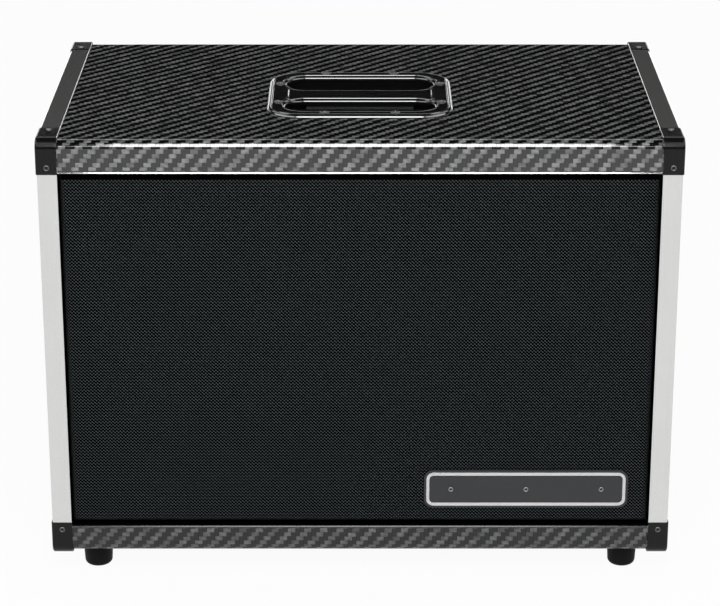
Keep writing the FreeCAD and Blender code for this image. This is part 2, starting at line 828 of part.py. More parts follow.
frame_body = new_body("handle_plate_body")
plate_outline = sketch(
    frame_body, "handle_outline", "XY_Plane",
    centred("size.handle_length", "size.handle_width", "at.handle_y"), lift="at.shell_top",
)
pad(frame_body, "handle_plate_pad", plate_outline, "size.handle_plate")
rounded(
    frame_body, "handle_corners", "size.handle_corner_radius", lambda edge: runs_along(edge, Z_AXIS)
)
for slot_name, slot_sign in (("front_slot", "-"), ("rear_slot", "+")):
    slot_middle = f"at.handle_y {slot_sign} (size.bar_width + at.slot_width) / 2"
    slot_outline = sketch(
        frame_body, slot_name + "_outline", "XY_Plane",
        centred("at.slot_length", "at.slot_width", slot_middle),
        lift="at.shell_top + size.handle_plate",
    )
    pocket(frame_body, slot_name, slot_outline, "size.handle_plate")
rounded(
    frame_body, "slot_corners", "size.slot_radius",
    lambda edge: runs_along(edge, Z_AXIS) and near(abs(middle_of(edge).x), at.slot_length / 2),
)
rim_top = at.shell_top + size.handle_plate
rounded(
    frame_body, "handle_rims", "size.rim_rounding",
    lambda edge: near(edge.BoundBox.ZMin, rim_top) and near(edge.BoundBox.ZMax, rim_top),
)
bar_outline = sketch(
    frame_body, "bar_outline", "XY_Plane",
    centred("at.slot_length", "size.bar_width", "at.handle_y"), lift="at.shell_top",
)
pad(frame_body, "bar", bar_outline, "size.bar_depth", downwards=True)
bar_under = at.shell_top - size.bar_depth
rounded(
    frame_body, "bar_underside", "size.bar_rounding",
    lambda edge: runs_along(edge, X_AXIS) and near(middle_of(edge).z, bar_under),
)
keep("handle_frame", joined("Cut", "handle_frame", frame_body, handle_bores))


def tray(name, inset):
    """A block with rounded corners and floor edges under the handle, smaller by an inset all round."""
    body = new_body(name)
    outline = sketch(
        body, name + "_outline", "XY_Plane",
        centred(f"at.cup_length - 2 * {inset}", f"at.cup_width - 2 * {inset}", "at.handle_y"),
        lift="at.shell_top",
    )
    pad(body, name + "_blank", outline, f"size.cup_depth - {inset}", downwards=True)
    rounded(body, name + "_corners", f"size.cup_radius - {inset}", lambda edge: runs_along(edge, Z_AXIS))
    floor = body.Shape.BoundBox.ZMin
    rounded(
        body, name + "_floor_edges", f"size.cup_floor_radius - {inset}",
        lambda edge: near(edge.BoundBox.ZMin, floor) and near(edge.BoundBox.ZMax, floor),
    )
    return body


cup_outside = tray("cup_outside", "0")
cup_inside = tray("cup_inside", "size.cup_wall")
keep("handle_cup", joined("Cut", "handle_cup", cup_outside, cup_inside))


# Feet

foot = turned("foot", [
    ("size.foot_screw_radius + size.fastener_clearance", "size.foot_height"),
    ("size.foot_top_radius", "size.foot_height"),
    ("size.foot_bottom_radius", "0"),
    ("size.foot_recess_radius", "0"),
    ("size.foot_recess_radius", "size.foot_recess_depth"),
    ("size.foot_screw_radius + size.fastener_clearance", "size.foot_recess_depth"),
])
rounded(
    foot, "foot_sole", "size.foot_rounding",
    lambda edge: near(edge.BoundBox.ZMax, 0) and near(edge.BoundBox.XMax, size.foot_bottom_radius),
)
SIDE_WORDS = {-1: "left", 1: "right"}
END_WORDS = {-1: "front", 1: "rear"}
for sx, sy, spot in foot_places():
    group(f"foot_{SIDE_WORDS[sx]}_{END_WORDS[sy]}", foot, [FreeCAD.Placement(spot, FreeCAD.Rotation())])


# Driver: solids of revolution about its axis, then seated behind the baffle


def on_driver_axis(label, corners):
    """A turned piece of the driver, from radius and depth pairs behind the flange's front face."""
    body = turned(label, corners, role="XY_Plane")
    body.setExpression("Placement.Base.y", DRIVER_Y)
    body.setExpression("Placement.Base.z", DRIVER_Z)
    return body


def bolt_spots(depth):
    """The bolt circle at a depth, with local +Z towards the rear."""
    for i in range(int(size.bolt_count)):
        turn = 2 * math.pi * (i + 0.5) / size.bolt_count
        spoke = driver.bolt_circle * V(math.cos(turn), 0, math.sin(turn))
        yield facing(Y_AXIS, spoke + V(0, driver_y + depth, driver_z))


BOLT_LENGTH = (
    "size.flange_thickness + size.edge_land_thickness + size.gasket_thickness + size.baffle_thickness"
)
bolt_length = (
    size.flange_thickness + size.edge_land_thickness + size.gasket_thickness + size.baffle_thickness
)
bolt = screw("bolt", "size.bolt_head_radius", "size.bolt_head_height", "size.bolt_radius", BOLT_LENGTH)
group("speaker_bolts", bolt, bolt_spots(size.flange_thickness))
bolt_bores = bores(
    "bolt_bores", size.bolt_radius + size.fastener_clearance, bolt_length, bolt_spots(size.flange_thickness)
)

TEE_BORE = "size.bolt_radius + size.fastener_clearance"
tee_nut = turned("tee_nut", [
    (TEE_BORE, "0"),
    ("size.tee_flange_radius", "0"),
    ("size.tee_flange_radius", "size.tee_flange_thickness"),
    ("size.tee_barrel_radius", "size.tee_flange_thickness"),
    ("size.tee_barrel_radius", "size.tee_barrel_length"),
    (TEE_BORE, "size.tee_barrel_length"),
])
tee_spots = list(bolt_spots(at.baffle_front - driver_y))
group("tee_nuts", tee_nut, tee_spots)


def rear_bores_from(name, radius, length, placements):
    """Round holes to cut, each running from its placement along local +Z."""
    half_turn = FreeCAD.Placement(V(), FreeCAD.Rotation(X_AXIS, 180))
    return bores(name, radius, length, [spot.multiply(half_turn) for spot in placements])


tee_flange_bores = rear_bores_from(
    "tee_flange_bores", size.tee_flange_radius + size.fastener_clearance,
    size.tee_flange_thickness, tee_spots,
)
tee_barrel_bores = rear_bores_from(
    "tee_barrel_bores", size.tee_barrel_radius + size.fastener_clearance,
    size.tee_barrel_length, tee_spots,
)


def peg_spots(y):
    """Six grille pegs on the middle of the frame's members, with local +Z towards the rear."""
    across = at.grille_half_width - size.cloth_thickness - size.grille_member / 2
    low = at.grille_bottom + size.cloth_thickness + size.grille_member / 2
    high = at.grille_top - size.cloth_thickness - size.grille_member / 2
    for sx in ALL_SIDES:
        for level in (low, driver_z, high):
            yield facing(Y_AXIS, V(sx * across, y, level))


peg = turned("peg", [
    ("0", "-size.peg_root_length"),
    ("size.peg_root_radius", "-size.peg_root_length"),
    ("size.peg_root_radius", "0"),
    ("size.peg_radius", "0"),
    ("size.peg_radius", "size.peg_length - size.peg_tip"),
    ("size.peg_radius - size.peg_tip", "size.peg_length"),
    ("0", "size.peg_length"),
])
group("grille_pegs", peg, peg_spots(at.frame_back))
peg_bores = bores(
    "peg_bores", size.peg_root_radius + size.fastener_clearance, size.peg_root_length,
    peg_spots(at.frame_back),
)

SOCKET_BORE = "size.peg_radius + size.peg_clearance"
SOCKET_DEPTH = "size.peg_length + size.peg_tip"
socket = turned("socket", [
    (SOCKET_BORE, "0"),
    (f"{SOCKET_BORE} + size.socket_wall", "0"),
    (f"{SOCKET_BORE} + size.socket_wall", f"{SOCKET_DEPTH} + size.socket_floor"),
    ("0", f"{SOCKET_DEPTH} + size.socket_floor"),
    ("0", SOCKET_DEPTH),
    (SOCKET_BORE, SOCKET_DEPTH),
])
socket_spots = list(peg_spots(at.baffle_front))
group("grille_sockets", socket, socket_spots)
socket_radius = size.peg_radius + size.peg_clearance + size.socket_wall
socket_depth = size.peg_length + size.peg_tip + size.socket_floor
socket_bores = rear_bores_from(
    "socket_bores", socket_radius + size.fastener_clearance, socket_depth, socket_spots
)

baffle_blank = block("baffle_blank", inner_x, ("at.baffle_front", BAFFLE_REAR), inner_z)
cutout = doc.addObject("Part::Cylinder", "speaker_cutout")
cutout.setExpression("Radius", "driver.cutout_radius")
cutout.setExpression("Height", "size.baffle_thickness")
cutout.Placement = facing(-Y_AXIS, V())
cutout.setExpression("Placement.Base.y", BAFFLE_REAR)
cutout.setExpression("Placement.Base.z", DRIVER_Z)
baffle = joined("Cut", "baffle_cut", baffle_blank, cutout)
for hole_name, holes in (
    ("baffle_bolts", bolt_bores), ("baffle_tees", tee_flange_bores),
    ("baffle_barrels", tee_barrel_bores), ("baffle_sockets", socket_bores),
):
    baffle = joined("Cut", hole_name, baffle, holes)
keep("baffle_board", baffle)

gasket = on_driver_axis("gasket_ring", [
    ("driver.cutout_radius", "-size.edge_land_thickness - size.gasket_thickness"),
    ("at.flange_radius", "-size.edge_land_thickness - size.gasket_thickness"),
    ("at.flange_radius", "0"),
    ("driver.edge_land_radius + size.glue_gap", "0"),
    ("driver.edge_land_radius + size.glue_gap", "-size.edge_land_thickness"),
    ("driver.cutout_radius", "-size.edge_land_thickness"),
])
keep("speaker_gasket", joined("Cut", "speaker_gasket", gasket, bolt_bores))

basket_body = on_driver_axis("basket", [
    ("driver.flange_inner_radius", "0"),
    ("at.flange_radius", "0"),
    ("at.flange_radius", "size.flange_thickness"),
    ("driver.flange_inner_radius + size.basket_wall", "size.flange_thickness"),
    ("size.seat_radius", "size.basket_depth"),
    ("size.seat_radius", "at.seat_back"),
    ("size.seat_bore", "at.seat_back"),
    ("size.seat_bore", "size.basket_depth"),
    ("size.shelf_radius - size.shelf_width", "size.basket_depth"),
    ("size.shelf_radius - size.shelf_width", "at.shelf_front"),
    ("size.shelf_radius", "at.shelf_front"),
    ("size.shelf_radius", "size.basket_depth"),
    ("size.seat_radius - size.basket_wall", "size.basket_depth"),
    ("driver.flange_inner_radius", "size.flange_thickness"),
])
window_outline = sketch(basket_body, "window_outline", "XZ_Plane", [
    ("-size.window_inner_width / 2", "-size.window_inner"),
    ("size.window_inner_width / 2", "-size.window_inner"),
    ("size.window_outer_width / 2", "-driver.window_outer"),
    ("-size.window_outer_width / 2", "-driver.window_outer"),
])
solid_volume = basket_body.Shape.Volume
window = pocket(basket_body, "window", window_outline, "size.basket_depth")
if basket_body.Shape.Volume >= solid_volume:
    raise RuntimeError("the basket's window cuts nothing")
windows = basket_body.newObject("PartDesign::PolarPattern", "windows")
windows.Originals = [window]
windows.Axis = (window_outline, ["N_Axis"])
windows.Angle = 360
windows.setExpression("Occurrences", "size.window_count")
basket_body.Tip = windows
doc.recompute()
keep("speaker_basket", joined("Cut", "speaker_basket", basket_body, bolt_bores))

# Moving cone: a straight paper cone with a flat lip, a former glued in its neck and a domed cap
CONE_SLOPE = "size.cone_depth / (driver.cone_radius - size.cone_lip - at.former_outer)"
keep("speaker_cone", on_driver_axis("speaker_cone", [
    ("driver.cone_radius", "size.cone_front"),
    ("driver.cone_radius", "size.cone_front + size.cone_thickness"),
    ("driver.cone_radius - size.cone_lip", "size.cone_front + size.cone_thickness"),
    ("at.former_outer + size.fastener_clearance", "at.neck + size.cone_thickness"),
    ("at.former_outer + size.fastener_clearance", "at.neck"),
    ("driver.cone_radius - size.cone_lip", "size.cone_front"),
]))
coil_middle = "at.seat_back + size.plate_thickness / 2"
keep("coil_former", on_driver_axis("coil_former", [
    ("at.former_inner", "at.neck"),
    ("at.former_outer", "at.neck"),
    ("at.former_outer", "at.seat_back + size.former_tail"),
    ("at.former_inner", "at.seat_back + size.former_tail"),
]))
keep("voice_coil", on_driver_axis("voice_coil", [
    ("at.former_outer + size.fastener_clearance", f"{coil_middle} - size.coil_height / 2"),
    ("at.coil_outer", f"{coil_middle} - size.coil_height / 2"),
    ("at.coil_outer", f"{coil_middle} + size.coil_height / 2"),
    ("at.former_outer + size.fastener_clearance", f"{coil_middle} + size.coil_height / 2"),
]))

DOME_RADIUS = "(size.cap_dome_radius^2 + size.cap_dome_height^2) / (2 * size.cap_dome_height)"
dome_rim = (
    f"{DRIVER_Y} + at.neck - (size.cap_dome_radius - at.former_outer) * {CONE_SLOPE} - size.glue_gap"
)


def dome(name, inset):
    """A spherical segment bulging to the front, its radius reduced by an inset."""
    made = doc.addObject("Part::Sphere", name)
    made.setExpression("Radius", f"{DOME_RADIUS} - {inset}")
    made.setExpression(
        "Angle1", f"asin(({DOME_RADIUS} - size.cap_dome_height) / ({DOME_RADIUS} - {inset}))"
    )
    made.Placement = facing(-Y_AXIS, V())
    made.setExpression("Placement.Base.y", f"{dome_rim} + {DOME_RADIUS} - size.cap_dome_height")
    made.setExpression("Placement.Base.z", DRIVER_Z)
    return made


dome_outside = dome("dome_outside", "0")
dome_inside = dome("dome_inside", "size.cap_dome_thickness")
keep("dust_cap", joined("Cut", "dust_cap", dome_outside, dome_inside))


def pleated(label, inner, outer, wave, thickness, count):
    """A pleated ring: a zigzag of even pleats between two flat lands.

    inner and outer are each the radius at the land's far edge, the radius at its pleat edge and
    the depth of its front face. The pleats' mean depth runs in a line from one land to the other.
    """
    front = [(inner[0], inner[2]), (inner[1], inner[2])]
    for i in range(1, count):
        share = f"{i} / {count}"
        radius = f"{inner[1]} + ({outer[1]} - ({inner[1]})) * {share}"
        depth = f"{inner[2]} + ({outer[2]} - ({inner[2]})) * {share}"
        sign = "-" if i % 2 else "+"
        front.append((radius, f"{depth} {sign} {wave}"))
    front += [(outer[1], outer[2]), (outer[0], outer[2])]
    back = [(radius, f"{depth} + {thickness}") for radius, depth in reversed(front)]
    return keep(label, on_driver_axis(label, front + back))


pleated(
    "surround",
    ("driver.cone_radius - size.cone_lip", "driver.cone_radius + size.glue_gap",
     "size.cone_front - size.edge_thickness - size.glue_gap"),
    ("driver.edge_land_radius", "driver.flange_inner_radius", "-size.edge_land_thickness"),
    "size.edge_wave", "size.edge_thickness", int(size.edge_pleats),
)
pleated(
    "spider",
    ("at.former_outer + size.glue_gap", "at.former_outer + size.glue_gap + size.shelf_width",
     "at.shelf_front - size.spider_thickness"),
    ("size.shelf_radius", "size.shelf_radius - size.shelf_width", "at.shelf_front - size.spider_thickness"),
    "size.spider_wave", "size.spider_thickness", int(size.spider_pleats),
)
keep("magnet_front_plate", on_driver_axis("magnet_front_plate", [
    ("at.coil_outer + size.coil_clearance", "at.seat_back"),
    ("size.plate_radius", "at.seat_back"),
    ("size.plate_radius", "at.magnet_front"),
    ("at.coil_outer + size.coil_clearance", "at.magnet_front"),
]))
keep("magnet_ring", on_driver_axis("magnet_ring", [
    ("size.magnet_bore", "at.magnet_front"),
    ("size.magnet_radius", "at.magnet_front"),
    ("size.magnet_radius", "at.magnet_back"),
    ("size.magnet_bore", "at.magnet_back"),
]))
keep("magnet_back_plate", on_driver_axis("magnet_back_plate", [
    ("size.pole_vent_radius", "at.seat_back"),
    ("size.pole_radius", "at.seat_back"),
    ("size.pole_radius", "at.magnet_back"),
    ("size.back_plate_radius", "at.magnet_back"),
    ("size.back_plate_radius", "at.magnet_back + size.back_plate_thickness"),
    ("size.pole_vent_radius", "at.magnet_back + size.back_plate_thickness"),
]))

# Terminal board on the back of the basket's seat, with a tag on each side
BOARD_FRONT = f"{DRIVER_Y} + at.seat_back"
TAG_Z = f"{DRIVER_Z} - size.seat_radius - size.terminal_reach"
board = block(
    "terminal_blank", ("-size.terminal_width / 2", "size.terminal_width / 2"),
    (BOARD_FRONT, f"{BOARD_FRONT} + size.terminal_thickness"),
    (f"{TAG_Z} - size.tag_width", f"{TAG_Z} - size.tag_width + size.terminal_height"),
)
tags = doc.addObject("Part::Compound", "tag_pair")
TAG_MIDDLE = f"{BOARD_FRONT} + size.terminal_thickness"
tags.Links = [
    block(
        f"tag_{word}",
        (f"{sign}size.terminal_spacing / 2 - size.tag_width / 2",
         f"{sign}size.terminal_spacing / 2 + size.tag_width / 2"),
        (f"{TAG_MIDDLE} - size.tag_length / 2", f"{TAG_MIDDLE} + size.tag_length / 2"),
        (f"{TAG_Z} - size.tag_thickness / 2", f"{TAG_Z} + size.tag_thickness / 2"),
    )
    for word, sign in (("left", "-"), ("right", ""))
]
keep("terminal_board", joined("Cut", "terminal_board", board, tags))
keep("terminal_tags", tags)


# Grille: a timber frame, the cloth stretched over it, and a plain badge plate

frame_x = ("-at.grille_half_width + size.cloth_thickness", "at.grille_half_width - size.cloth_thickness")
frame_z = ("at.grille_bottom + size.cloth_thickness", "at.grille_top - size.cloth_thickness")


def rounded_board(name, x, z, front, depth, radius, face_y):
    """A board in the plane of the front, with its front edges and its corners rounded."""
    body = new_body(name)
    outline = sketch(body, name + "_outline", "XZ_Plane", rectangle(x, z), lift=f"-({front})")
    pad(body, name + "_blank", outline, depth, downwards=True)
    rounded(body, name + "_corners", radius, lambda edge: runs_along(edge, Y_AXIS))
    rounded(
        body, name + "_front_edges", radius,
        lambda edge: near(edge.BoundBox.YMin, face_y) and near(edge.BoundBox.YMax, face_y),
    )
    return body


frame_blank = rounded_board(
    "grille_frame_board", frame_x, frame_z, "at.frame_front", "size.grille_frame_thickness",
    "size.grille_rounding", at.frame_front,
)
frame_window = block(
    "grille_window",
    (f"{frame_x[0]} + size.grille_member", f"{frame_x[1]} - size.grille_member"),
    ("at.frame_front", "at.frame_back"),
    (f"{frame_z[0]} + size.grille_member", f"{frame_z[1]} - size.grille_member"),
)
frame_ring = joined("Cut", "grille_frame_ring", frame_blank, frame_window)
keep("grille_frame", joined("Cut", "grille_frame", frame_ring, peg_bores))

cloth_blank = rounded_board(
    "cloth_board", ("-at.grille_half_width", "at.grille_half_width"), ("at.grille_bottom", "at.grille_top"),
    "at.grille_front", "size.cloth_thickness + size.grille_frame_thickness",
    "size.grille_rounding + size.cloth_thickness", at.grille_front,
)
cloth = joined("Cut", "cloth_skin", cloth_blank, frame_blank)


def badge_rivet_spots():
    """Three small rivets along the middle of the badge plate, heads to the front."""
    middle = at.grille_half_width - size.badge_side_inset - size.badge_length / 2
    level = at.grille_bottom + size.badge_rise + size.badge_height / 2
    for i in (-1, 0, 1):
        yield facing(-Y_AXIS, V(
            middle + i * size.badge_rivet_spacing, at.grille_front - size.badge_thickness, level
        ))


badge_rivet = screw(
    "badge_rivet", "size.badge_rivet_head_radius", "size.badge_rivet_head_height",
    "size.badge_rivet_radius", "size.badge_thickness + size.cloth_thickness",
)
group("badge_rivets", badge_rivet, badge_rivet_spots())
badge_bores = bores(
    "badge_bores", size.badge_rivet_radius + size.fastener_clearance,
    size.badge_thickness + size.cloth_thickness, badge_rivet_spots(),
)
keep("grille_cloth", joined("Cut", "grille_cloth", cloth, badge_bores))
badge_body = new_body("badge_body")
badge_right = "at.grille_half_width - size.badge_side_inset"
badge_low = "at.grille_bottom + size.badge_rise"
badge_x = (f"{badge_right} - size.badge_length", badge_right)
badge_z = (badge_low, f"{badge_low} + size.badge_height")
badge_outline = sketch(
    badge_body, "badge_outline", "XZ_Plane", rectangle(badge_x, badge_z), lift="-at.grille_front"
)
pad(badge_body, "badge_blank", badge_outline, "size.badge_thickness")
rounded(badge_body, "badge_corners", "size.badge_radius", lambda edge: runs_along(edge, Y_AXIS))
keep("badge_plate", joined("Cut", "badge_plate", badge_body, badge_bores))


# Connector dish in the rear panel, with two jack sockets

dish_flange = block(
    "dish_flange", ("-size.dish_width / 2", "size.dish_width / 2"),
    ("at.rear_face", "at.rear_face + size.dish_sheet"),
    ("at.dish_z - size.dish_height / 2", "at.dish_z + size.dish_height / 2"),
)
DISH_FLOOR = "at.rear_face + size.dish_sheet - size.dish_depth"
dish_cup = block(
    "dish_cup", ("-at.dish_cup_width / 2", "at.dish_cup_width / 2"),
    (f"{DISH_FLOOR} - size.dish_sheet", "at.rear_face"),
    ("at.dish_z - at.dish_cup_height / 2", "at.dish_z + at.dish_cup_height / 2"),
)
dish_inside = block(
    "dish_inside",
    ("-at.dish_cup_width / 2 + size.dish_sheet", "at.dish_cup_width / 2 - size.dish_sheet"),
    (DISH_FLOOR, "at.rear_face + size.dish_sheet"),
    ("at.dish_z - at.dish_cup_height / 2 + size.dish_sheet",
     "at.dish_z + at.dish_cup_height / 2 - size.dish_sheet"),
)
dish_floor = at.rear_face + size.dish_sheet - size.dish_depth
jack_spots = [facing(Y_AXIS, V(sx * size.jack_spacing / 2, dish_floor, at.dish_z)) for sx in ALL_SIDES]
jack_holes = bores(
    "jack_holes", size.jack_bush_radius + size.fastener_clearance, size.dish_sheet, jack_spots
)
dish = joined("Cut", "dish_shell", joined("Fuse", "dish_blank", dish_flange, dish_cup), dish_inside)
for hole_name, holes in (("dish_jack_holes", jack_holes), ("dish_screw_holes", rear_bores)):
    dish = joined("Cut", hole_name, dish, holes)
keep("connector_dish", dish)

BUSH_END = f"{DISH_FLOOR} + size.jack_bush_length - size.dish_sheet"
JACK_BACK = f"{DISH_FLOOR} - size.dish_sheet"
JACK_FRONT = f"{JACK_BACK} - size.jack_body_length"
for jack_label, sign in (("input_jack", "-"), ("link_jack", "")):
    middle = f"{sign}size.jack_spacing / 2"
    housing = block(
        jack_label + "_housing",
        (f"{middle} - size.jack_body_width / 2", f"{middle} + size.jack_body_width / 2"),
        (JACK_FRONT, JACK_BACK),
        ("at.dish_z - size.jack_body_height / 2", "at.dish_z + size.jack_body_height / 2"),
    )
    bush = doc.addObject("Part::Cylinder", jack_label + "_bush")
    bush.setExpression("Radius", "size.jack_bush_radius")
    bush.setExpression("Height", "size.jack_bush_length")
    bore = doc.addObject("Part::Cylinder", jack_label + "_bore")
    bore.setExpression("Radius", "size.jack_bore_radius")
    bore.setExpression("Height", "size.jack_bore_depth")
    for rod in (bush, bore):
        rod.Placement = facing(-Y_AXIS, V())
        rod.setExpression("Placement.Base.x", middle)
        rod.setExpression("Placement.Base.y", BUSH_END)
        rod.setExpression("Placement.Base.z", "at.dish_z")
    jack = joined("Fuse", jack_label + "_solid", housing, bush)
    for word, tag_sign in (("tip", "+"), ("sleeve", "-")):
        level = f"at.dish_z {tag_sign} size.jack_tag_spacing / 2"
        tag = block(
            f"{jack_label}_{word}_tag",
            (f"{middle} - size.tag_width / 2", f"{middle} + size.tag_width / 2"),
            (f"{JACK_FRONT} - size.jack_tag_length", JACK_FRONT),
            (f"{level} - size.tag_thickness / 2", f"{level} + size.tag_thickness / 2"),
        )
        jack = joined("Fuse", f"{jack_label}_with_{word}_tag", jack, tag)
    keep(jack_label, joined("Cut", jack_label, jack, bore))

nut_body = new_body("jack_nut")
NUT_CORNER = "size.jack_nut_width / sqrt(3)"
nut_outline = sketch(nut_body, "nut_outline", "XY_Plane", [
    (f"{NUT_CORNER} * cos({turn} deg)", f"{NUT_CORNER} * sin({turn} deg)") for turn in range(0, 360, 60)
])
pad(nut_body, "nut_blank", nut_outline, "size.jack_nut_thickness")
nut_bore = doc.addObject("Part::Cylinder", "nut_bore")
nut_bore.setExpression("Radius", "size.jack_bush_radius + size.fastener_clearance")
nut_bore.setExpression("Height", "size.jack_nut_thickness")
nut = joined("Cut", "nut", nut_body, nut_bore)
doc.recompute()
group("jack_nuts", nut, jack_spots)


# Leads: two from the input jack to the driver, two between the jacks, and two limp coil leads

tag_end = driver_y + at.seat_back + size.terminal_thickness + size.tag_length / 2
tag_start = tag_end - size.tag_length
tag_level = driver_z - size.seat_radius - size.terminal_reach
jack_end = dish_floor - size.dish_sheet - size.jack_body_length - size.jack_tag_length
jack_x = -size.jack_spacing / 2
lead_solids = []
for sx, rise in ((-1, 1), (1, -1)):
    terminal = V(sx * size.terminal_spacing / 2, tag_end, tag_level)
    jack_tag = V(jack_x, jack_end, at.dish_z + rise * size.jack_tag_spacing / 2)
    span = jack_tag - terminal
    sag = V(sx * size.lead_spread, 0, -size.lead_sag)
    route = [
        terminal,
        terminal + V(0, span.y * 0.2, 0),
        terminal + V(span.x * 0.2, span.y * 0.42, span.z * 0.4) + sag,
        terminal + V(span.x * 0.75, span.y * 0.62, span.z * 0.7) + sag,
        jack_tag - V(0, span.y * 0.18, 0),
        jack_tag,
    ]
    lead_solids.append(tube(f"speaker lead {sx}", size.lead_radius, route))
    link_start = V(jack_x + size.tag_width / 2, jack_end + size.jack_tag_length / 2, jack_tag.z)
    link_length = size.jack_spacing - size.tag_width
    lead_solids.append(Part.makeCylinder(size.lead_radius / 2, link_length, link_start, X_AXIS))
leads = doc.addObject("Part::Feature", "speaker_leads")
leads.Shape = Part.makeCompound(lead_solids)
keep("speaker_leads", leads)

cone_slope = size.cone_depth / (driver.cone_radius - size.cone_lip - at.former_outer)
lead_radius_on_cone = (size.window_inner + size.shelf_radius) / 2
cone_back = at.neck + size.cone_thickness - (lead_radius_on_cone - at.former_outer) * cone_slope
coil_solids = []
for sx in ALL_SIDES:
    start = V(sx * size.terminal_spacing / 2, tag_start, tag_level)
    end = V(
        start.x, driver_y + cone_back + size.coil_lead_radius + size.glue_gap, driver_z - lead_radius_on_cone
    )
    run = end.y - start.y
    route = [
        start,
        start + V(0, run * 0.25, 0),
        start + V(sx * size.coil_lead_spread, run * 0.6, (end.z - start.z) * 0.2),
        end,
    ]
    coil_solids.append(tube(f"coil lead {sx}", size.coil_lead_radius, route))
coil_leads = doc.addObject("Part::Feature", "coil_leads")
coil_leads.Shape = Part.makeCompound(coil_solids)
keep("coil_leads", coil_leads)


# Check every object, then write each piece

doc.recompute()
failed = [made.Label for made in doc.Objects if {"Invalid", "Error"} & set(made.State)]
if failed:
    raise RuntimeError(f"failed objects: {failed}")
for label, made in pieces.items():
    if made.Shape.isNull() or not made.Shape.isValid() or not made.Shape.Solids:
        raise RuntimeError(f"bad shape: {label}")
os.makedirs("parts", exist_ok=True)
for label, made in pieces.items():
    solids = made.Shape.Solids
    shape = solids[0] if len(solids) == 1 else Part.makeCompound(solids)
    shape.exportStep(f"parts/{label}.step")
print(f"{len(pieces)} pieces written")
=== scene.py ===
"""Looks of a guitar speaker cabinet: finishes, moulded and woven pieces, studio and camera.

Lengths are in metres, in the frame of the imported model: +Z up, the grille facing -Y.
"""

import math
from functools import partialmethod

import bmesh
import bpy
import numpy as np
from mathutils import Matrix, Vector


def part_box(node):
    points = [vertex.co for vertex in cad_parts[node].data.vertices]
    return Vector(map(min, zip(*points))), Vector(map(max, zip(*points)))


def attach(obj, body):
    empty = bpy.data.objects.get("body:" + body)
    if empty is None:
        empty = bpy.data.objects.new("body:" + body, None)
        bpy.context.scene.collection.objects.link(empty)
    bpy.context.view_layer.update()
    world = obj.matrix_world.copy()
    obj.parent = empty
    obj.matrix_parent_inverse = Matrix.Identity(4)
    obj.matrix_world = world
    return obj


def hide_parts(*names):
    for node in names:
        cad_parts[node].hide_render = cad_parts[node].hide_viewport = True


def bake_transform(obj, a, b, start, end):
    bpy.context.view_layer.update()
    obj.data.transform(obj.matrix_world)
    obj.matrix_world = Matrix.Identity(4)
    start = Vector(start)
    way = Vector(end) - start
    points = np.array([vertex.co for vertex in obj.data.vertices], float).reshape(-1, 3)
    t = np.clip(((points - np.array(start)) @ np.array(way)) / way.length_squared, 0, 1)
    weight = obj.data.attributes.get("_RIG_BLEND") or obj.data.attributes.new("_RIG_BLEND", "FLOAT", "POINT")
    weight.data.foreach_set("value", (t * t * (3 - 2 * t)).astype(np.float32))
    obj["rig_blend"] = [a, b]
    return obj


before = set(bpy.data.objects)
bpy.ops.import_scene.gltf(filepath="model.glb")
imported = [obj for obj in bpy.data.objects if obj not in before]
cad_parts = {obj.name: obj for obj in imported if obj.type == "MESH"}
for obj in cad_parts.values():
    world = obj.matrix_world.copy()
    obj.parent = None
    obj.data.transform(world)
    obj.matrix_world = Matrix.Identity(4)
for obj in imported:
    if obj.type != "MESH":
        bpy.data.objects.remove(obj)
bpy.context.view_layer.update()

MM = 0.001

# Weaves
WARP_PITCH = 3.78 * MM
WEFT_PITCH = 4.15 * MM
CLOTH_PITCH = 1.6 * MM
# Tows in one repeat of the twill, of which the weft floats over half
TWILL_REPEAT = 4.0
# Depth behind a board's outer face to which its twill reaches
TWILL_SKIN = 1.6 * MM

# Points nearer than this are one point
MERGE = 1e-6

# Share of the room's brightness that lights the object, and how bright it is seen, level with the floor
ROOM_LIGHT = 0.3
ROOM_SEEN = 0.968

# Camera: a long lens that looks down on the front
IMAGE_WIDTH = 720
LOOK_AT_HEIGHT = 0.2094
CAMERA_DISTANCE = 2.534
CAMERA_PITCH = math.radians(20.5)
FOCAL_PIXELS = 2595.5
SENSOR_WIDTH = 36.0


def node_box(node):
    """Lowest and highest corner of a CAD node as arrays."""
    low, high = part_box(node)
    return np.array(low), np.array(high)


def smooth(value, start, end):
    """0 before start, 1 after end, and 3t^2 - 2t^3 between them."""
    t = np.clip((value - start) / (end - start), 0.0, 1.0)
    return t * t * (3.0 - 2.0 * t)


class Value:
    """A shader socket in Python arithmetic: each operator adds the Math node that works it out."""

    def __init__(self, nodes, socket):
        self.nodes = nodes
        self.socket = socket

    def math(self, operation, *others):
        return self.nodes.node("ShaderNodeMath", {"operation": operation}, [self, *others])

    __add__ = __radd__ = partialmethod(math, "ADD")
    __sub__ = partialmethod(math, "SUBTRACT")
    __mul__ = __rmul__ = partialmethod(math, "MULTIPLY")
    __truediv__ = partialmethod(math, "DIVIDE")
    __pow__ = partialmethod(math, "POWER")
    __mod__ = partialmethod(math, "FLOORED_MODULO")
    __lt__ = partialmethod(math, "LESS_THAN")
    __gt__ = partialmethod(math, "GREATER_THAN")
    __abs__ = partialmethod(math, "ABSOLUTE")
    floor = partialmethod(math, "FLOOR")
    sine = partialmethod(math, "SINE")

    def __rsub__(self, other):
        return self.nodes.node("ShaderNodeMath", {"operation": "SUBTRACT"}, [other, self])

    def clamped(self):
        return self.nodes.node("ShaderNodeClamp", {}, [self])

    def siblings(self):
        """All outputs of the node that this value comes from."""
        return [Value(self.nodes, socket) for socket in self.socket.node.outputs]


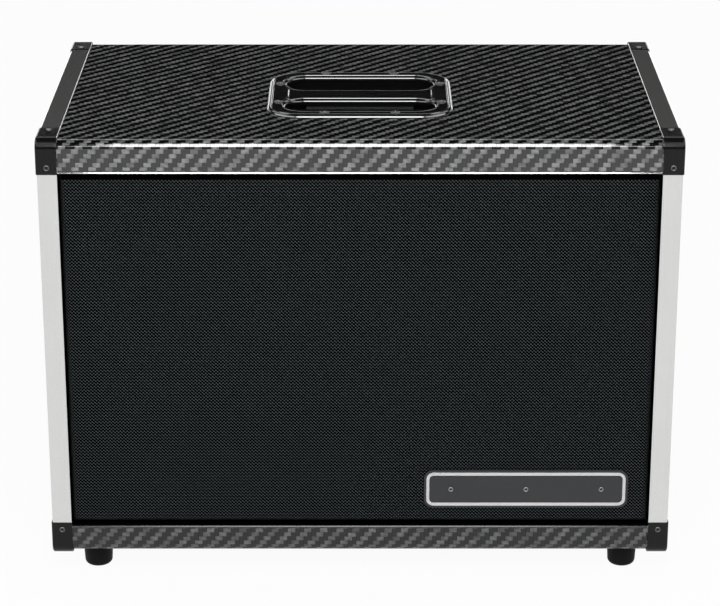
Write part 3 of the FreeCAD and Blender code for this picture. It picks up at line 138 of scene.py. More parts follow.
class Nodes:
    """A shader tree, with one method that adds any node to it."""

    def __init__(self, tree):
        self.tree = tree

    def node(self, kind, settings, inputs, output=0):
        """Adds a node, sets it up, feeds its sockets by order or by name, and returns one output."""
        made = self.tree.nodes.new(kind)
        for setting, value in settings.items():
            setattr(made, setting, value)
        pairs = inputs.items() if isinstance(inputs, dict) else enumerate(inputs)
        for key, value in pairs:
            self.connect(made.inputs[key], value)
        return Value(self, made.outputs[output])

    def connect(self, socket, value):
        if isinstance(value, Value):
            self.tree.links.new(value.socket, socket)
        elif isinstance(value, tuple) and socket.type == "RGBA":
            socket.default_value = (*value, 1.0)
        else:
            socket.default_value = value

    def seen(self):
        """1 for rays of the camera, of gloss and of glass, and 0 for those that light other surfaces."""
        inputs = ("Is Camera Ray", "Is Glossy Ray", "Is Transmission Ray")
        path = {way.socket.name: way for way in self.node("ShaderNodeLightPath", {}, {}).siblings()}
        return sum(path[name] for name in inputs).clamped()


class Finish(Nodes):
    """A material: constants go on its shader's sockets, and what varies is linked to them."""

    def __init__(self, name, **constants):
        self.material = bpy.data.materials.new(name)
        self.material.use_nodes = True
        super().__init__(self.material.node_tree)
        self.shader = self.tree.nodes["Principled BSDF"]
        for socket, value in constants.items():
            self.feed(socket.replace("_", " "), value)

    def feed(self, socket, value):
        self.connect(self.shader.inputs[socket], value)

    def spot(self, system="Object"):
        """Coordinates of the point that is shaded."""
        return self.node("ShaderNodeTexCoord", {}, {}, system)

    def place(self):
        """Object coordinates, one value for each axis."""
        return self.split(self.spot())

    def split(self, vector):
        return self.node("ShaderNodeSeparateXYZ", {}, [vector]).siblings()

    def vector(self, x, y, z):
        return self.node("ShaderNodeCombineXYZ", {}, [x, y, z])

    def noise(self, spot, scale, detail=2.0, roughness=0.5):
        inputs = {"Vector": spot, "Scale": scale, "Detail": detail, "Roughness": roughness}
        return self.node("ShaderNodeTexNoise", {}, inputs)

    def mix(self, factor, first, second):
        """A colour between two colours."""
        return self.node("ShaderNodeMix", {"data_type": "RGBA"}, {0: factor, 6: first, 7: second}, 2)

    def bump(self, height, distance, strength=1.0):
        """Feeds the shader's normal with a height from 0 to 1, a distance deep."""
        inputs = {"Height": height, "Distance": distance, "Strength": strength}
        self.feed("Normal", self.node("ShaderNodeBump", {}, inputs))


def carbon_twill(name, lay, hidden, strength=1.0):
    """Twill of flat tows under a clear gloss, pale where the weft floats, and plain black where hidden is 1.

    With u and v counted in tows, a weft float shows where (u - floor(v)) mod 4 is under 2, so the floats
    climb one tow to the right in each row, and warp shows elsewhere. A float is pale along its middle and
    dips at its ends. The tows sway a little, and no two floats are equally pale. The weave's layout is real,
    but the floats' paleness is painted sheen, for the light that the weft's fibres catch. The strength scales
    the paleness and gloss; below 1 it is painted shade, a darker copy for a face that gets less light.
    """
    finish = Finish(name, Coat_IOR=1.8, Coat_Roughness=0.05, Roughness=0.5, Specular_IOR_Level=0.0)
    x, y, z = finish.place()
    u, v = lay(x, y, z)
    u = u / WARP_PITCH
    v = v / WEFT_PITCH
    sway = finish.noise(finish.vector(u, v, 0.0), 0.4) - 0.5
    drift = finish.noise(finish.vector(u, v, 9.0), 0.4) - 0.5
    blotch = finish.noise(finish.vector(u, v, 18.0), 0.9, 1.0)
    u = u + 0.5 * sway
    v = v + 0.4 * drift
    row = v.floor()
    column = u.floor()
    shown = 1.0 - hidden(x, y, z)
    from_middle = abs((u - row) % TWILL_REPEAT - TWILL_REPEAT / 4.0)
    across_weft = abs(v - row - 0.5) * 2.0
    across_warp = abs(u - column - 0.5) * 2.0
    half_float, end_fade = 0.86, 0.12
    weft = (1.0 - (from_middle - half_float) / end_fade).clamped() * (1.0 - across_weft ** 16.0) * shown
    fibre_weft = finish.noise(finish.vector(u * 0.25, v * 7.0, row * 3.7), 1.0)
    fibre_warp = finish.noise(finish.vector(u * 7.0, v * 0.25, column * 3.7), 1.0)
    warp = ((1.0 - across_warp ** 7.0) * (0.3 + 1.2 * fibre_warp)).clamped() * shown
    black = finish.mix(warp, (0.0012, 0.0012, 0.0014), (0.0045, 0.0046, 0.005))
    float_count = ((u - row) / TWILL_REPEAT).floor()
    chance = finish.node("ShaderNodeTexWhiteNoise", {}, {"Vector": finish.vector(float_count, row, 0.0)})
    # Painted sheen: the weft floats are painted pale for the light their fibres catch, each float by its own
    # chance
    painted_fibre_sheen = (0.2 + 0.45 * fibre_weft + 0.6 * chance) * (1.8 * blotch + 0.1)
    pale = weft * (1.0 - 0.4 * from_middle ** 2.0) * painted_fibre_sheen
    painted_sheen_colour = tuple(strength * share for share in (0.238, 0.239, 0.241))
    finish.feed("Base Color", finish.mix(pale.clamped(), black, painted_sheen_colour))
    finish.feed("Metallic", 0.2 * weft)
    gloss = (0.62 + 0.38 * weft + 0.34 * warp * (1.0 - weft)).clamped()
    finish.feed("Coat Weight", strength * gloss * shown)
    finish.bump(weft * (1.0 - across_weft ** 2.0), 0.3 * MM, 0.6)
    return finish.material


def lay_over_top(x, y, z):
    """Twill runs on over the rounded front and rear edges of the top."""
    skin = node_box("top_panel")[1][2]
    return x, y + y.math("SIGN") * abs(z - skin)


def lay_under_bottom(x, y, z):
    """As on the top, turned so that the floats of the bottom lip climb to the right too."""
    skin = node_box("bottom_panel")[0][2]
    return x, (y + y.math("SIGN") * abs(z - skin)) * -1.0


def lay_on_side(x, y, z):
    """Warp upright on the side boards."""
    return y, z


def inside_box(x, y, z):
    """1 on the inner faces of the top and bottom, which are plain black: behind the shell's outer planes."""
    rear, top = node_box("top_panel")[1][1:]
    bottom = node_box("bottom_panel")[0][2]
    wrap = 9.0 * MM
    within_y = abs(y) < rear - TWILL_SKIN
    within_z = (z < top - wrap) * (z > bottom + wrap)
    return within_y * within_z


def inside_sides(x, y, z):
    """1 on the inner faces and edges of the side boards."""
    return abs(x) < node_box("right_side_panel")[1][0] - TWILL_SKIN


def satin_aluminium(name, drawn_along):
    """Anodised extrusion: fine lines drawn along one axis, whose scale in the noise is the smallest."""
    finish = Finish(name, Metallic=0.86)
    scale = [700.0, 700.0, 700.0]
    scale[drawn_along] = 4.0
    x, y, z = finish.place()
    drawn = finish.noise(finish.vector(x * scale[0], y * scale[1], z * scale[2]), 1.0, 2.0)
    cloud = finish.noise(finish.vector(x, y, z), 14.0, 3.0)
    finish.feed("Base Color", finish.mix(drawn * 0.3 + cloud * 0.7, (0.64, 0.642, 0.632), (0.71, 0.712, 0.7)))
    finish.feed("Roughness", 0.06 + 0.03 * cloud)
    return finish.material


def painted(name, dark, light, grain_scale, grain_depth, roughness, specular):
    """Paint or moulding with a fine grain in height and tone, and slow patches of dullness."""
    finish = Finish(name, Specular_IOR_Level=specular)
    spot = finish.spot()
    grain = finish.noise(spot, grain_scale, 3.0, 0.6)
    patch = finish.noise(spot, 25.0, 3.0)
    finish.feed("Base Color", finish.mix((grain * 0.7 + patch * 0.3).clamped(), dark, light))
    finish.feed("Roughness", roughness * (1.0 + 0.4 * (patch - 0.5) + 0.2 * (grain - 0.5)))
    finish.bump(grain, grain_depth * MM, 0.5)
    return finish.material


def woven_cloth():
    """Fine weave whose threads show as dots in slanting rows: three waves added, mostly the one that falls.

    Near the top edge, where the cloth turns back over the frame's upper edge, the dots fade to black: painted
    shade of the lip above.
    """
    finish = Finish("grille_weave_black", Specular_IOR_Level=0.0)
    across, up, _ = finish.split(finish.spot("UV"))
    u = across * (math.pi / CLOTH_PITCH)
    v = up * (math.pi / CLOTH_PITCH)
    slub = finish.noise(finish.vector(u * 0.1, v * 0.1, 0.0), 1.0, 3.0)
    waves = 1.1 * (u + v).sine() + 0.85 * (u - v).sine() + 0.3 * v.sine()
    lip_shade_from, lip_shade_fade = node_box("grille_cloth")[1][2] - 3.5 * MM, 1.2 * MM
    # Painted shade: the weave goes black from 3.5 mm below the top edge, for the lip's shade over the cloth
    painted_lip_shade = ((up - lip_shade_from) / lip_shade_fade).clamped()
    crown = (1.4 * waves + 0.3 * slub - 0.55).clamped() * (1.0 - painted_lip_shade)
    finish.feed("Base Color", finish.mix(crown, (0.0004, 0.0005, 0.0005), (0.063, 0.0735, 0.077)))
    finish.feed("Roughness", 0.95 - 0.2 * crown)
    finish.bump(crown, 0.2 * MM, 0.5)
    return finish.material


def planed_timber():
    """Softwood: growth lines stretched along the board, with pores between them."""
    finish = Finish("bare_timber_planed", Specular_IOR_Level=0.25)
    x, y, z = finish.place()
    wander = finish.noise(finish.vector(x * 3.0, y * 40.0, z * 40.0), 1.0, 3.0)
    lines = 0.5 + 0.5 * ((z + y) * 700.0 + wander * 9.0).sine()
    pores = finish.noise(finish.vector(x * 60.0, y * 900.0, z * 900.0), 1.0, 2.0)
    tone = (lines * 0.6 + pores * 0.4).clamped()
    finish.feed("Base Color", finish.mix(tone, (0.34, 0.21, 0.10), (0.58, 0.43, 0.27)))
    finish.feed("Roughness", 0.55 + 0.2 * pores)
    finish.bump(pores, 0.1 * MM, 0.4)
    return finish.material


def bright_metal(name, dark, light, roughness):
    """Plated or turned metal with faint rubbing marks."""
    finish = Finish(name, Metallic=1.0)
    x, y, z = finish.place()
    rubbed = finish.noise(finish.vector(x * 900.0, y * 900.0, z * 90.0), 1.0, 3.0)
    finish.feed("Base Color", finish.mix(rubbed, dark, light))
    finish.feed("Roughness", roughness + 0.15 * (rubbed - 0.5))
    finish.bump(rubbed, 0.01 * MM, 0.3)
    return finish.material


def driver_axis_height():
    """Height of the cone's centre line."""
    return sum(node_box("speaker_cone"))[2] / 2.0


def ringed(name, dark, light, pitch, depth):
    """Fibrous sheet with rings about the driver's axis, one every pitch."""
    finish = Finish(name, Specular_IOR_Level=0.2)
    x, _, z = finish.place()
    reach = (x ** 2.0 + (z - driver_axis_height()) ** 2.0) ** 0.5
    ring = 0.5 + 0.5 * (reach * (2.0 * math.pi / (pitch * MM))).sine()
    felt = finish.noise(finish.spot(), 420.0, 4.0, 0.65)
    finish.feed("Base Color", finish.mix((felt * 0.75 + ring * 0.25).clamped(), dark, light))
    finish.feed("Roughness", 0.75 + 0.2 * (felt - 0.5))
    finish.bump(ring * 0.7 + felt * 0.3, depth * MM, 0.7)
    return finish.material


# Paints, coats and mouldings by slot: name, dark and light tone, grains per metre and their depth in
# millimetres, roughness, specular level
PAINTS = {
    "black_board": ("black_board_paint", (0.006, 0.006, 0.0065), (0.022, 0.022, 0.023),
        900.0, 0.15, 0.6, 0.25),
    "corner_black": ("corner_black_coat", (0.003, 0.003, 0.0034), (0.008, 0.008, 0.009),
        1500.0, 0.02, 0.17, 0.22),
    "screw_black": ("screw_black_oxide", (0.003, 0.003, 0.0034), (0.009, 0.009, 0.01),
        1500.0, 0.005, 0.16, 1.0),
    "badge_grey": ("badge_grey_satin", (0.019, 0.0197, 0.021), (0.037, 0.0378, 0.04), 1600.0, 0.02, 0.4, 0.4),
    "peg_plastic": ("peg_nylon", (0.012, 0.012, 0.012), (0.035, 0.035, 0.035), 700.0, 0.03, 0.45, 0.4),
    "basket_black": ("basket_powder_coat", (0.008, 0.008, 0.008), (0.026, 0.026, 0.026),
        1100.0, 0.08, 0.5, 0.4),
    "gasket_fibre": ("gasket_pressed_fibre", (0.12, 0.1, 0.075), (0.26, 0.225, 0.175),
        500.0, 0.2, 0.85, 0.15),
    "former_film": ("former_amber_film", (0.26, 0.1, 0.02), (0.42, 0.19, 0.045), 300.0, 0.01, 0.25, 0.5),
    "magnet_ferrite": ("magnet_sintered", (0.04, 0.04, 0.044), (0.085, 0.085, 0.09), 800.0, 0.1, 0.7, 0.3),
    "terminal_fibre": ("terminal_laminate", (0.18, 0.09, 0.04), (0.31, 0.18, 0.095), 400.0, 0.05, 0.6, 0.3),
    "dish_black": ("dish_crackle_coat", (0.006, 0.006, 0.007), (0.03, 0.03, 0.033), 700.0, 0.3, 0.5, 0.4),
    "jack_nickel": ("jack_moulding", (0.012, 0.012, 0.012), (0.035, 0.035, 0.035), 900.0, 0.02, 0.3, 0.5),
    "lead_plastic": ("lead_sleeve", (0.2, 0.013, 0.013), (0.3, 0.03, 0.028), 500.0, 0.02, 0.4, 0.5),
    "foot_rubber": ("foot_rubber_matt", (0.0015, 0.0015, 0.0016), (0.005, 0.005, 0.0052),
        600.0, 0.08, 0.6, 0.12),
    "handle_black": ("handle_black_moulding", (0.002, 0.002, 0.0023), (0.006, 0.006, 0.0067),
        1300.0, 0.004, 0.14, 1.0),
}

# Bare and plated metals by slot: name, dark and light tone, roughness
METALS = {
    "rivet_black": ("rivet_gunmetal", (0.09, 0.09, 0.094), (0.17, 0.17, 0.175), 0.3),
    "zinc_steel": ("zinc_plate", (0.50, 0.51, 0.53), (0.68, 0.69, 0.70), 0.32),
    "badge_rivet_steel": ("badge_rivet_turned", (0.2, 0.2, 0.205), (0.34, 0.34, 0.345), 0.3),
    "coil_copper": ("coil_enamelled_copper", (0.55, 0.23, 0.11), (0.78, 0.39, 0.22), 0.3),
    "terminal_brass": ("terminal_tinned_brass", (0.58, 0.44, 0.19), (0.78, 0.63, 0.32), 0.3),
    "nut_nickel": ("nut_nickel_plate", (0.64, 0.63, 0.60), (0.80, 0.79, 0.76), 0.2),
}

# The driver's ringed sheets by slot: name, dark and light tone, pitch and depth of the rings in millimetres
RINGED_SHEETS = {
    "edge_cloth": ("surround_doped_cloth", (0.02, 0.018, 0.016), (0.07, 0.062, 0.055), 1.2, 0.08),
    "spider_cloth": ("spider_resin_cotton", (0.30, 0.19, 0.07), (0.52, 0.36, 0.15), 1.1, 0.1),
    "cone_paper": ("cone_felted_paper", (0.028, 0.026, 0.024), (0.085, 0.078, 0.07), 9.0, 0.5),
}


def dress_solids():
    """Gives every carried-over node the finish of its material slot."""
    tables = ((painted, PAINTS), (bright_metal, METALS), (ringed, RINGED_SHEETS))
    finishes = {slot: make(*row) for make, rows in tables for slot, row in rows.items()}
    finishes["bare_timber"] = planed_timber()
    finishes["edge_aluminium"] = satin_aluminium("edge_aluminium_upright", 2)
    finishes["grille_weave"] = woven_cloth()
    side = carbon_twill("carbon_on_side", lay_on_side, inside_sides)
    panels = {
        "top_panel": carbon_twill("carbon_over_top", lay_over_top, inside_box),
        # At 0.57 strength the bottom's twill is painted shade: a darker, less glossy copy of the top's, for
        # the lower lip's weaker light
        "bottom_panel": carbon_twill("carbon_under_bottom", lay_under_bottom, inside_box, 0.57),
        "left_side_panel": side,
        "right_side_panel": side,
    }
    for name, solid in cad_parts.items():
        for place in solid.material_slots:
            place.material = panels.get(name) or finishes[place.material.name]
    return finishes


def grid_faces(rows, columns, closed=False):
    """Quads of a grid of points kept row by row; a closed grid joins its last column to its first."""
    row, column = np.meshgrid(np.arange(rows - 1), np.arange(columns - (not closed)), indexing="ij")
    beside = (column + 1) % columns
    here, above = row * columns, (row + 1) * columns
    corners = (here + column, here + beside, above + beside, above + column)
    return np.stack(corners, axis=-1).reshape(-1, 4)


def merge_into(mesh, source, outwards=False, flat_angle=None):
    """Fills a mesh from a source with its doubles merged.

    Where asked, triangles that meet under the flat angle are joined, and faces are turned outwards.
    """
    shape = bmesh.new()
    shape.from_mesh(source)
    bmesh.ops.remove_doubles(shape, verts=shape.verts, dist=MERGE)
    if flat_angle:
        bmesh.ops.dissolve_limit(shape, angle_limit=flat_angle, verts=shape.verts, edges=shape.edges)
    if outwards:
        bmesh.ops.recalc_face_normals(shape, faces=shape.faces)
    shape.to_mesh(mesh)
    shape.free()


def placed(name, data):
    """A new object in the scene."""
    made = bpy.data.objects.new(name, data)
    bpy.context.scene.collection.objects.link(made)
    return made


def finish_piece(piece, body, nodes):
    """Steadies a piece's normals, hides the nodes it stands for, and hangs it on the body it rides on."""
    piece.modifiers.new("steady_normals", "WEIGHTED_NORMAL").keep_sharp = True
    if nodes:
        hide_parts(*nodes)
    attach(piece, body)
    return piece


def make_piece(name, points, faces, finish, body, nodes, crease=35.0):
    """A closed piece: doubles merged, faces outwards, and edges creased above an angle in degrees."""
    mesh = bpy.data.meshes.new(name)
    mesh.from_pydata(points, [], faces)
    merge_into(mesh, mesh, outwards=True)
    mesh.shade_smooth()
    mesh.set_sharp_from_angle(angle=math.radians(crease))
    mesh.materials.append(finish)
    return finish_piece(placed(name, mesh), body, nodes)


def unit(vector):
    """Vectors of length 1 along the given ones."""
    return vector / np.linalg.norm(vector, axis=-1, keepdims=True)


def rounded_line(corners, closed=False, steps=6):
    """Points of a line whose corners, each (x, y, radius), are rounded by arcs that touch both runs."""
    table = np.array(corners)
    spots, radii = table[:, :2], table[:, 2]
    share = np.linspace(0.0, 1.0, steps)[:, None]
    points = []
    for count, (spot, radius) in enumerate(zip(spots, radii)):
        at_end = not closed and count in (0, len(spots) - 1)
        if at_end or radius == 0.0:
            points.append(spot[None])
            continue
        back = unit(spots[count - 1] - spot)
        ahead = unit(spots[(count + 1) % len(spots)] - spot)
        half = math.acos(back @ ahead) / 2.0
        centre = spot + unit(back + ahead) * radius / math.sin(half)
        touch = radius / math.tan(half)
        spoke = spot - centre + touch * ((1.0 - share) * back + share * ahead)
        points.append(centre + radius * unit(spoke))
    return np.concatenate(points)


def carried(section, start, end, axes, along):
    """A section carried straight from start to end along one axis, and closed at both ends."""
    count = len(section)
    points = np.zeros((2 * count, 3))
    points[:, axes] = np.concatenate((section, section))
    points[:count, along] = start
    points[count:, along] = end
    faces = grid_faces(2, count, closed=True).tolist()
    return points, faces + [list(range(count)), list(range(count, 2 * count))]


def edge_strip(node, finishes):
    """Aluminium angle: an L section with rounded edges carried along the solid's longest side."""
    low, high = node_box(node)
    centre = sum(node_box("left_side_panel")) / 2.0 * (0.0, 0.0, 1.0)
    along = int(np.argmax(high - low))
    axes = [axis for axis in range(3) if axis != along]
    outward = np.sign((low + high) / 2.0 - centre)[axes]
    corner = np.where(outward > 0, high[axes], low[axes])
    leg = (high - low)[axes].min()
    wall, bend, edge, inner = 1.5 * MM, 1.2 * MM, 0.6 * MM, 0.25 * MM
    section = rounded_line([(0.0, 0.0, bend), (leg, 0.0, edge), (leg, wall, inner), (wall, wall, inner),
                            (wall, leg, inner), (0.0, leg, edge)], closed=True)
    points, faces = carried(corner - outward * section, low[along], high[along], axes, along)
    return make_piece(node + "_angle", points, faces, finishes[along], "cabinet", [node])


def lip_trim(name, section, edge, inward, finish):
    """Trim on the inner edge of a front lip: a section carried across the opening.

    Its corners are (depth behind the lip's face, distance into the lip, rounding), in millimetres.
    """
    face = node_box("top_panel")[0][1]
    half = node_box("grille_cloth")[1][0] + 1.5 * MM
    outline = rounded_line(np.array(section) * MM, closed=True) * (1.0, inward) + (face, edge)
    points, faces = carried(outline, -half, half, [1, 2], 0)
    return make_piece(name, points, faces, finish, "cabinet", [])


def lip_trims(bright, black):
    """A bright sloped bead under a thin black flange on the upper lip, and a rounded one on the lower lip."""
    upper_edge = node_box("top_panel")[0][2]
    lower_edge = node_box("bottom_panel")[1][2]
    bead = [(3.0, 0.0, 0.0), (3.0, -0.35, 0.1), (-0.6, -0.35, 0.2),
            (0.05, 0.85, 0.2), (0.6, 0.85, 0.0), (0.6, 0.0, 0.0)]
    flange = [(0.6, 0.85, 0.0), (-0.12, 0.85, 0.0), (-0.12, 2.1, 0.08), (0.6, 2.1, 0.0)]
    edging = [(3.0, -0.15, 0.1), (-0.15, -0.15, 0.8), (-0.15, 1.8, 0.1),
              (0.5, 1.8, 0.0), (0.5, 0.2, 0.0), (3.0, 0.2, 0.0)]
    lip_trim("upper_lip_bead", bead, upper_edge, 1.0, bright)
    lip_trim("upper_lip_flange", flange, upper_edge, 1.0, black)
    lip_trim("lower_lip_flange", edging, lower_edge, -1.0, black)


def slab_loop(half_x, half_y, radius, side_steps, end_steps, corner_steps, gather=1.0):
    """Spine and outward direction of a rounded rectangle, whose offset d is spine + (radius + d) * direction.

    Each of the four corners has its own count of steps. A gather over 1 brings the directions of a corner
    closer to its middle one, as a power of their share of the turn.
    """
    corners = np.array([(1, 1), (-1, 1), (-1, -1), (1, -1)]) * (half_x - radius, half_y - radius)
    spine = []
    direction = []
    for quarter in range(4):
        angle = quarter * math.pi / 2.0
        share = np.linspace(-1.0, 1.0, corner_steps[quarter] + 1)
        turn = angle + math.pi / 4.0 * (1.0 + np.sign(share) * np.abs(share) ** gather)
        corner, following = corners[quarter], corners[(quarter + 1) % 4]
        steps = side_steps if quarter % 2 == 0 else end_steps
        run = np.linspace(0.0, 1.0, steps + 1)[1:-1, None]
        spine += [np.repeat(corner[None], len(turn), axis=0), corner + (following - corner) * run]
        turn = np.append(turn, np.full(len(run), angle + math.pi / 2.0))
        direction.append(np.stack((np.cos(turn), np.sin(turn)), axis=1))
    return np.concatenate(spine), np.concatenate(direction)


def slab_distance(x, y, half_x, half_y, radius):
    """Signed distance from a rounded rectangle, negative inside."""
    over_x = np.abs(x) - half_x + radius
    over_y = np.abs(y) - half_y + radius
    outside = np.hypot(np.maximum(over_x, 0.0), np.maximum(over_y, 0.0))
    return outside + np.minimum(np.maximum(over_x, over_y), 0.0) - radius


def bar_handle(finish):
    """Plate with two slots and a bar between them.

    Half of it is a grid of loops round one slot: the slot's wall, slope and ridge are offsets of the slot's
    outline, and the other loops go on along the same rays to insets of the plate's outline and of the bar's
    middle line. Heights follow the distance from the slot and from the plate's outline, and the bar lies
    lower than the ends. The underside repeats the loops at the board's level, and lower below the bar. The
    other half is the mirror image.
    """
    low, high = node_box("handle_frame")
    middle = (low + high) / 2.0
    half_x, half_y = (high - low)[:2] / 2.0
    board = node_box("top_panel")[1][2]
    plate_radius = 30.0 * MM
    slot_half_x, slot_half_y, slot_radius = 69.0 * MM, 21.0 * MM, 19.0 * MM
    slot_middle = 37.5 * MM
    bar_half = slot_middle - slot_half_y
    step_at, step_width, bar_sink = 68.0 * MM, 2.0 * MM, 1.3 * MM
    flank_from, flank_to = bar_half + 8.5 * MM, bar_half + 0.5 * MM
    bar_ends, bar_rounding = 5.0 * MM, 5.0 * MM
    spine, direction = slab_loop(slot_half_x, slot_half_y, slot_radius, 44, 4, (24, 24, 120, 120), 1.6)
    spine = spine + (0.0, slot_middle)
    # Distance from the slot's outline, height over the board and rounding, from the wall's foot to the field
    wall = [(0.0, -2.2, 0.0), (0.0, 0.95, 2.0), (3.0, 2.35, 0.2), (3.3, 2.86, 0.15), (4.1, 2.96, 0.15),
            (4.5, 2.8, 0.3), (7.5, 2.8, 0.0)]
    # Distance from the plate's outline, height over the board and rounding, from the field to the edge
    rim = [(5.4, 2.8, 0.0), (4.6, 2.8, 0.2), (4.3, 3.1, 0.15), (3.5, 2.99, 0.2), (3.0, 2.45, 0.4),
           (1.05, 1.75, 1.5), (0.2, 0.4, 0.2), (0.0, 0.25, 0.0)]
    wall, rim = (rounded_line(np.array(line) * MM, steps=4) for line in (wall, rim))

    def reach_to(inset):
        """Length along each ray from the spine to an inset of the plate's outline or the bar's middle."""
        rounds = 80
        reach = np.zeros(len(spine))
        for _ in range(rounds):
            spot = spine + direction * reach[:, None]
            inside = -slab_distance(spot[:, 0], spot[:, 1], half_x, half_y, plate_radius)
            reach += np.minimum(inside - inset, spot[:, 1] - 0.05 * inset)
        return reach

    loops = [spine + direction * (slot_radius + away) for away in wall[:, 0]]
    to_rim = [spine + direction * reach_to(inset)[:, None] for inset in rim[:, 0]]
    field = [loops[-1] + (to_rim[0] - loops[-1]) * share for share in np.linspace(0.0, 1.0, 12)[1:-1]]
    upper = np.array(loops + field + to_rim)
    x, y = upper[..., 0], upper[..., 1]
    from_rim = -slab_distance(x, y, half_x, half_y, plate_radius)
    rise = np.interp(from_rim, rim[::-1, 0], rim[::-1, 1])
    rise[:len(wall)] = wall[:, 1:]
    between_steps = smooth(step_at - np.abs(x), 0.0, step_width)
    on_bar = between_steps * smooth(-y, -flank_from, -flank_to)
    tops = board + rise - bar_sink * on_bar
    lower = np.concatenate((upper[:1], upper[len(wall) - 1:]))
    x, y = lower[..., 0], lower[..., 1]
    below_bar = smooth(slot_half_x - np.abs(x), 0.0, bar_ends) * (y <= bar_half + MERGE)
    rounding = bar_rounding * (y / bar_half) ** 4
    bottoms = board - below_bar * np.maximum(board - low[2] - rounding, 0.0)
    bottoms[0] = np.minimum(bottoms[0], tops[0])
    rows = np.concatenate((lower[::-1], upper))
    heights = np.concatenate((bottoms[::-1], tops))
    columns = rows.shape[1]
    half = np.concatenate((rows, heights[..., None]), axis=-1).reshape(-1, 3)
    faces = grid_faces(len(rows), columns, closed=True)
    first = np.arange(columns)
    following = (first + 1) % columns
    last = (len(rows) - 1) * columns
    edge = np.stack((first, following, last + following, last + first), axis=1)
    on_rim = (half[edge][..., 1] > MERGE).any(axis=1)
    faces = np.concatenate((faces, edge[on_rim]))
    points = np.concatenate((half, half * (1.0, -1.0, 1.0))) + (middle[0], middle[1], 0.0)
    faces = np.concatenate((faces, faces + len(half)))
    return make_piece("handle_moulding", points, faces, finish, "cabinet", ["handle_frame"])


def turned_points(reach, rise, steps):
    """A profile of radii and heights turned about Z: x = r cos a, y = r sin a."""
    angle = np.linspace(0.0, 2.0 * math.pi, steps, endpoint=False)
    flat = (reach[:, None] * np.cos(angle), reach[:, None] * np.sin(angle))
    return np.stack((*flat, np.repeat(rise[:, None], steps, axis=1)), axis=-1)


def turned(reach, rise, steps):
    """Points and faces of a profile turned about Z."""
    return turned_points(reach, rise, steps).reshape(-1, 3), grid_faces(len(reach), steps, closed=True)


def set_out(one, faces, places):
    """Copies of a shape, each with its Z turned along a place's direction and its origin on the spot."""
    points = []
    for spot, facing in places:
        facing = np.array(facing, dtype=float)
        across = np.array((0.0, 1.0, 0.0) if abs(facing[0]) > 0.5 else (1.0, 0.0, 0.0))
        turn = np.stack((across, np.cross(facing, across), facing))
        points.append(one @ turn + spot)
    quads = [faces + count * len(one) for count in range(len(places))]
    return np.concatenate(points), np.concatenate(quads)


def pan_heads(name, places, head_radius, head_height, finish, node):
    """Pan-head screws: a domed profile with a cross sunk into it.

    The sink is full where the lesser of a point's offsets from the middle is under a tenth of the radius.
    """
    shank = head_radius * 0.5
    shank_length = 10.0 * MM
    steps = 32
    dome = np.linspace(0.0, math.pi / 2.0, 12)[1:]
    rim = 0.15 * head_height
    crown = rim + 0.85 * head_height * np.sin(dome)
    reach = np.concatenate(([0.0, shank, shank, head_radius, head_radius], head_radius * np.cos(dome)))
    rise = np.concatenate(([-shank_length, -shank_length, 0.0, 0.0, rim], crown))
    one = turned_points(reach, rise, steps)
    off = np.minimum(np.abs(one[..., 0]), np.abs(one[..., 1]))
    arm = 1.0 - smooth(off, 0.1 * head_radius, 0.24 * head_radius)
    arm *= 1.0 - smooth(reach, 0.28 * head_radius, 0.42 * head_radius)[:, None]
    one[..., 2] -= np.where(one[..., 2] > rim, 0.55 * head_height * arm, 0.0)
    points, quads = set_out(one.reshape(-1, 3), grid_faces(len(reach), steps, closed=True), places)
    return make_piece(name, points, quads, finish, "cabinet", [node])


def hollow_rivets(node, places, head_radius, head_height, eye_radius, body, finish, painted_eye_shade):
    """Hollow rivets: a rolled ring, half an ellipse across, round a dark eye sunk in it."""
    roll = np.linspace(0.0, math.pi, 9)
    ring = (head_radius + eye_radius) / 2.0
    half = (head_radius - eye_radius) / 2.0
    sunk = -0.6 * head_radius
    reach = np.concatenate(([eye_radius, head_radius], ring + half * np.cos(roll), [eye_radius]))
    rise = np.concatenate(([sunk, sunk], head_height * np.sin(roll), [sunk]))
    points, faces = set_out(*turned(reach, rise, 24), places)
    make_piece(node + "_rings", points, faces, finish, body, [node])
    # The eye is a shallow disc painted black: painted shade for the depth of the rivet's bore
    reach = np.array([0.0, 1.0, 1.0, 0.0]) * eye_radius
    rise = np.array([sunk, sunk, 0.2 * sunk, 0.35 * sunk])
    points, faces = set_out(*turned(reach, rise, 16), places)
    return make_piece(node + "_eyes", points, faces, painted_eye_shade, body, [])


def softened(node, width, finishes, slot):
    """A copy of a solid with broken edges: coplanar triangles are joined, then sharp edges are rounded."""
    mesh = bpy.data.meshes.new(node + "_softened")
    merge_into(mesh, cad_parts[node].data, flat_angle=math.radians(0.5))
    mesh.shade_smooth()
    mesh.materials.append(finishes[slot])
    piece = placed(node + "_softened", mesh)
    edge = piece.modifiers.new("broken_edges", "BEVEL")
    edge.limit_method = "ANGLE"
    edge.angle_limit = math.radians(40.0)
    edge.width = width
    edge.segments = 2
    return finish_piece(piece, "cabinet", [node])


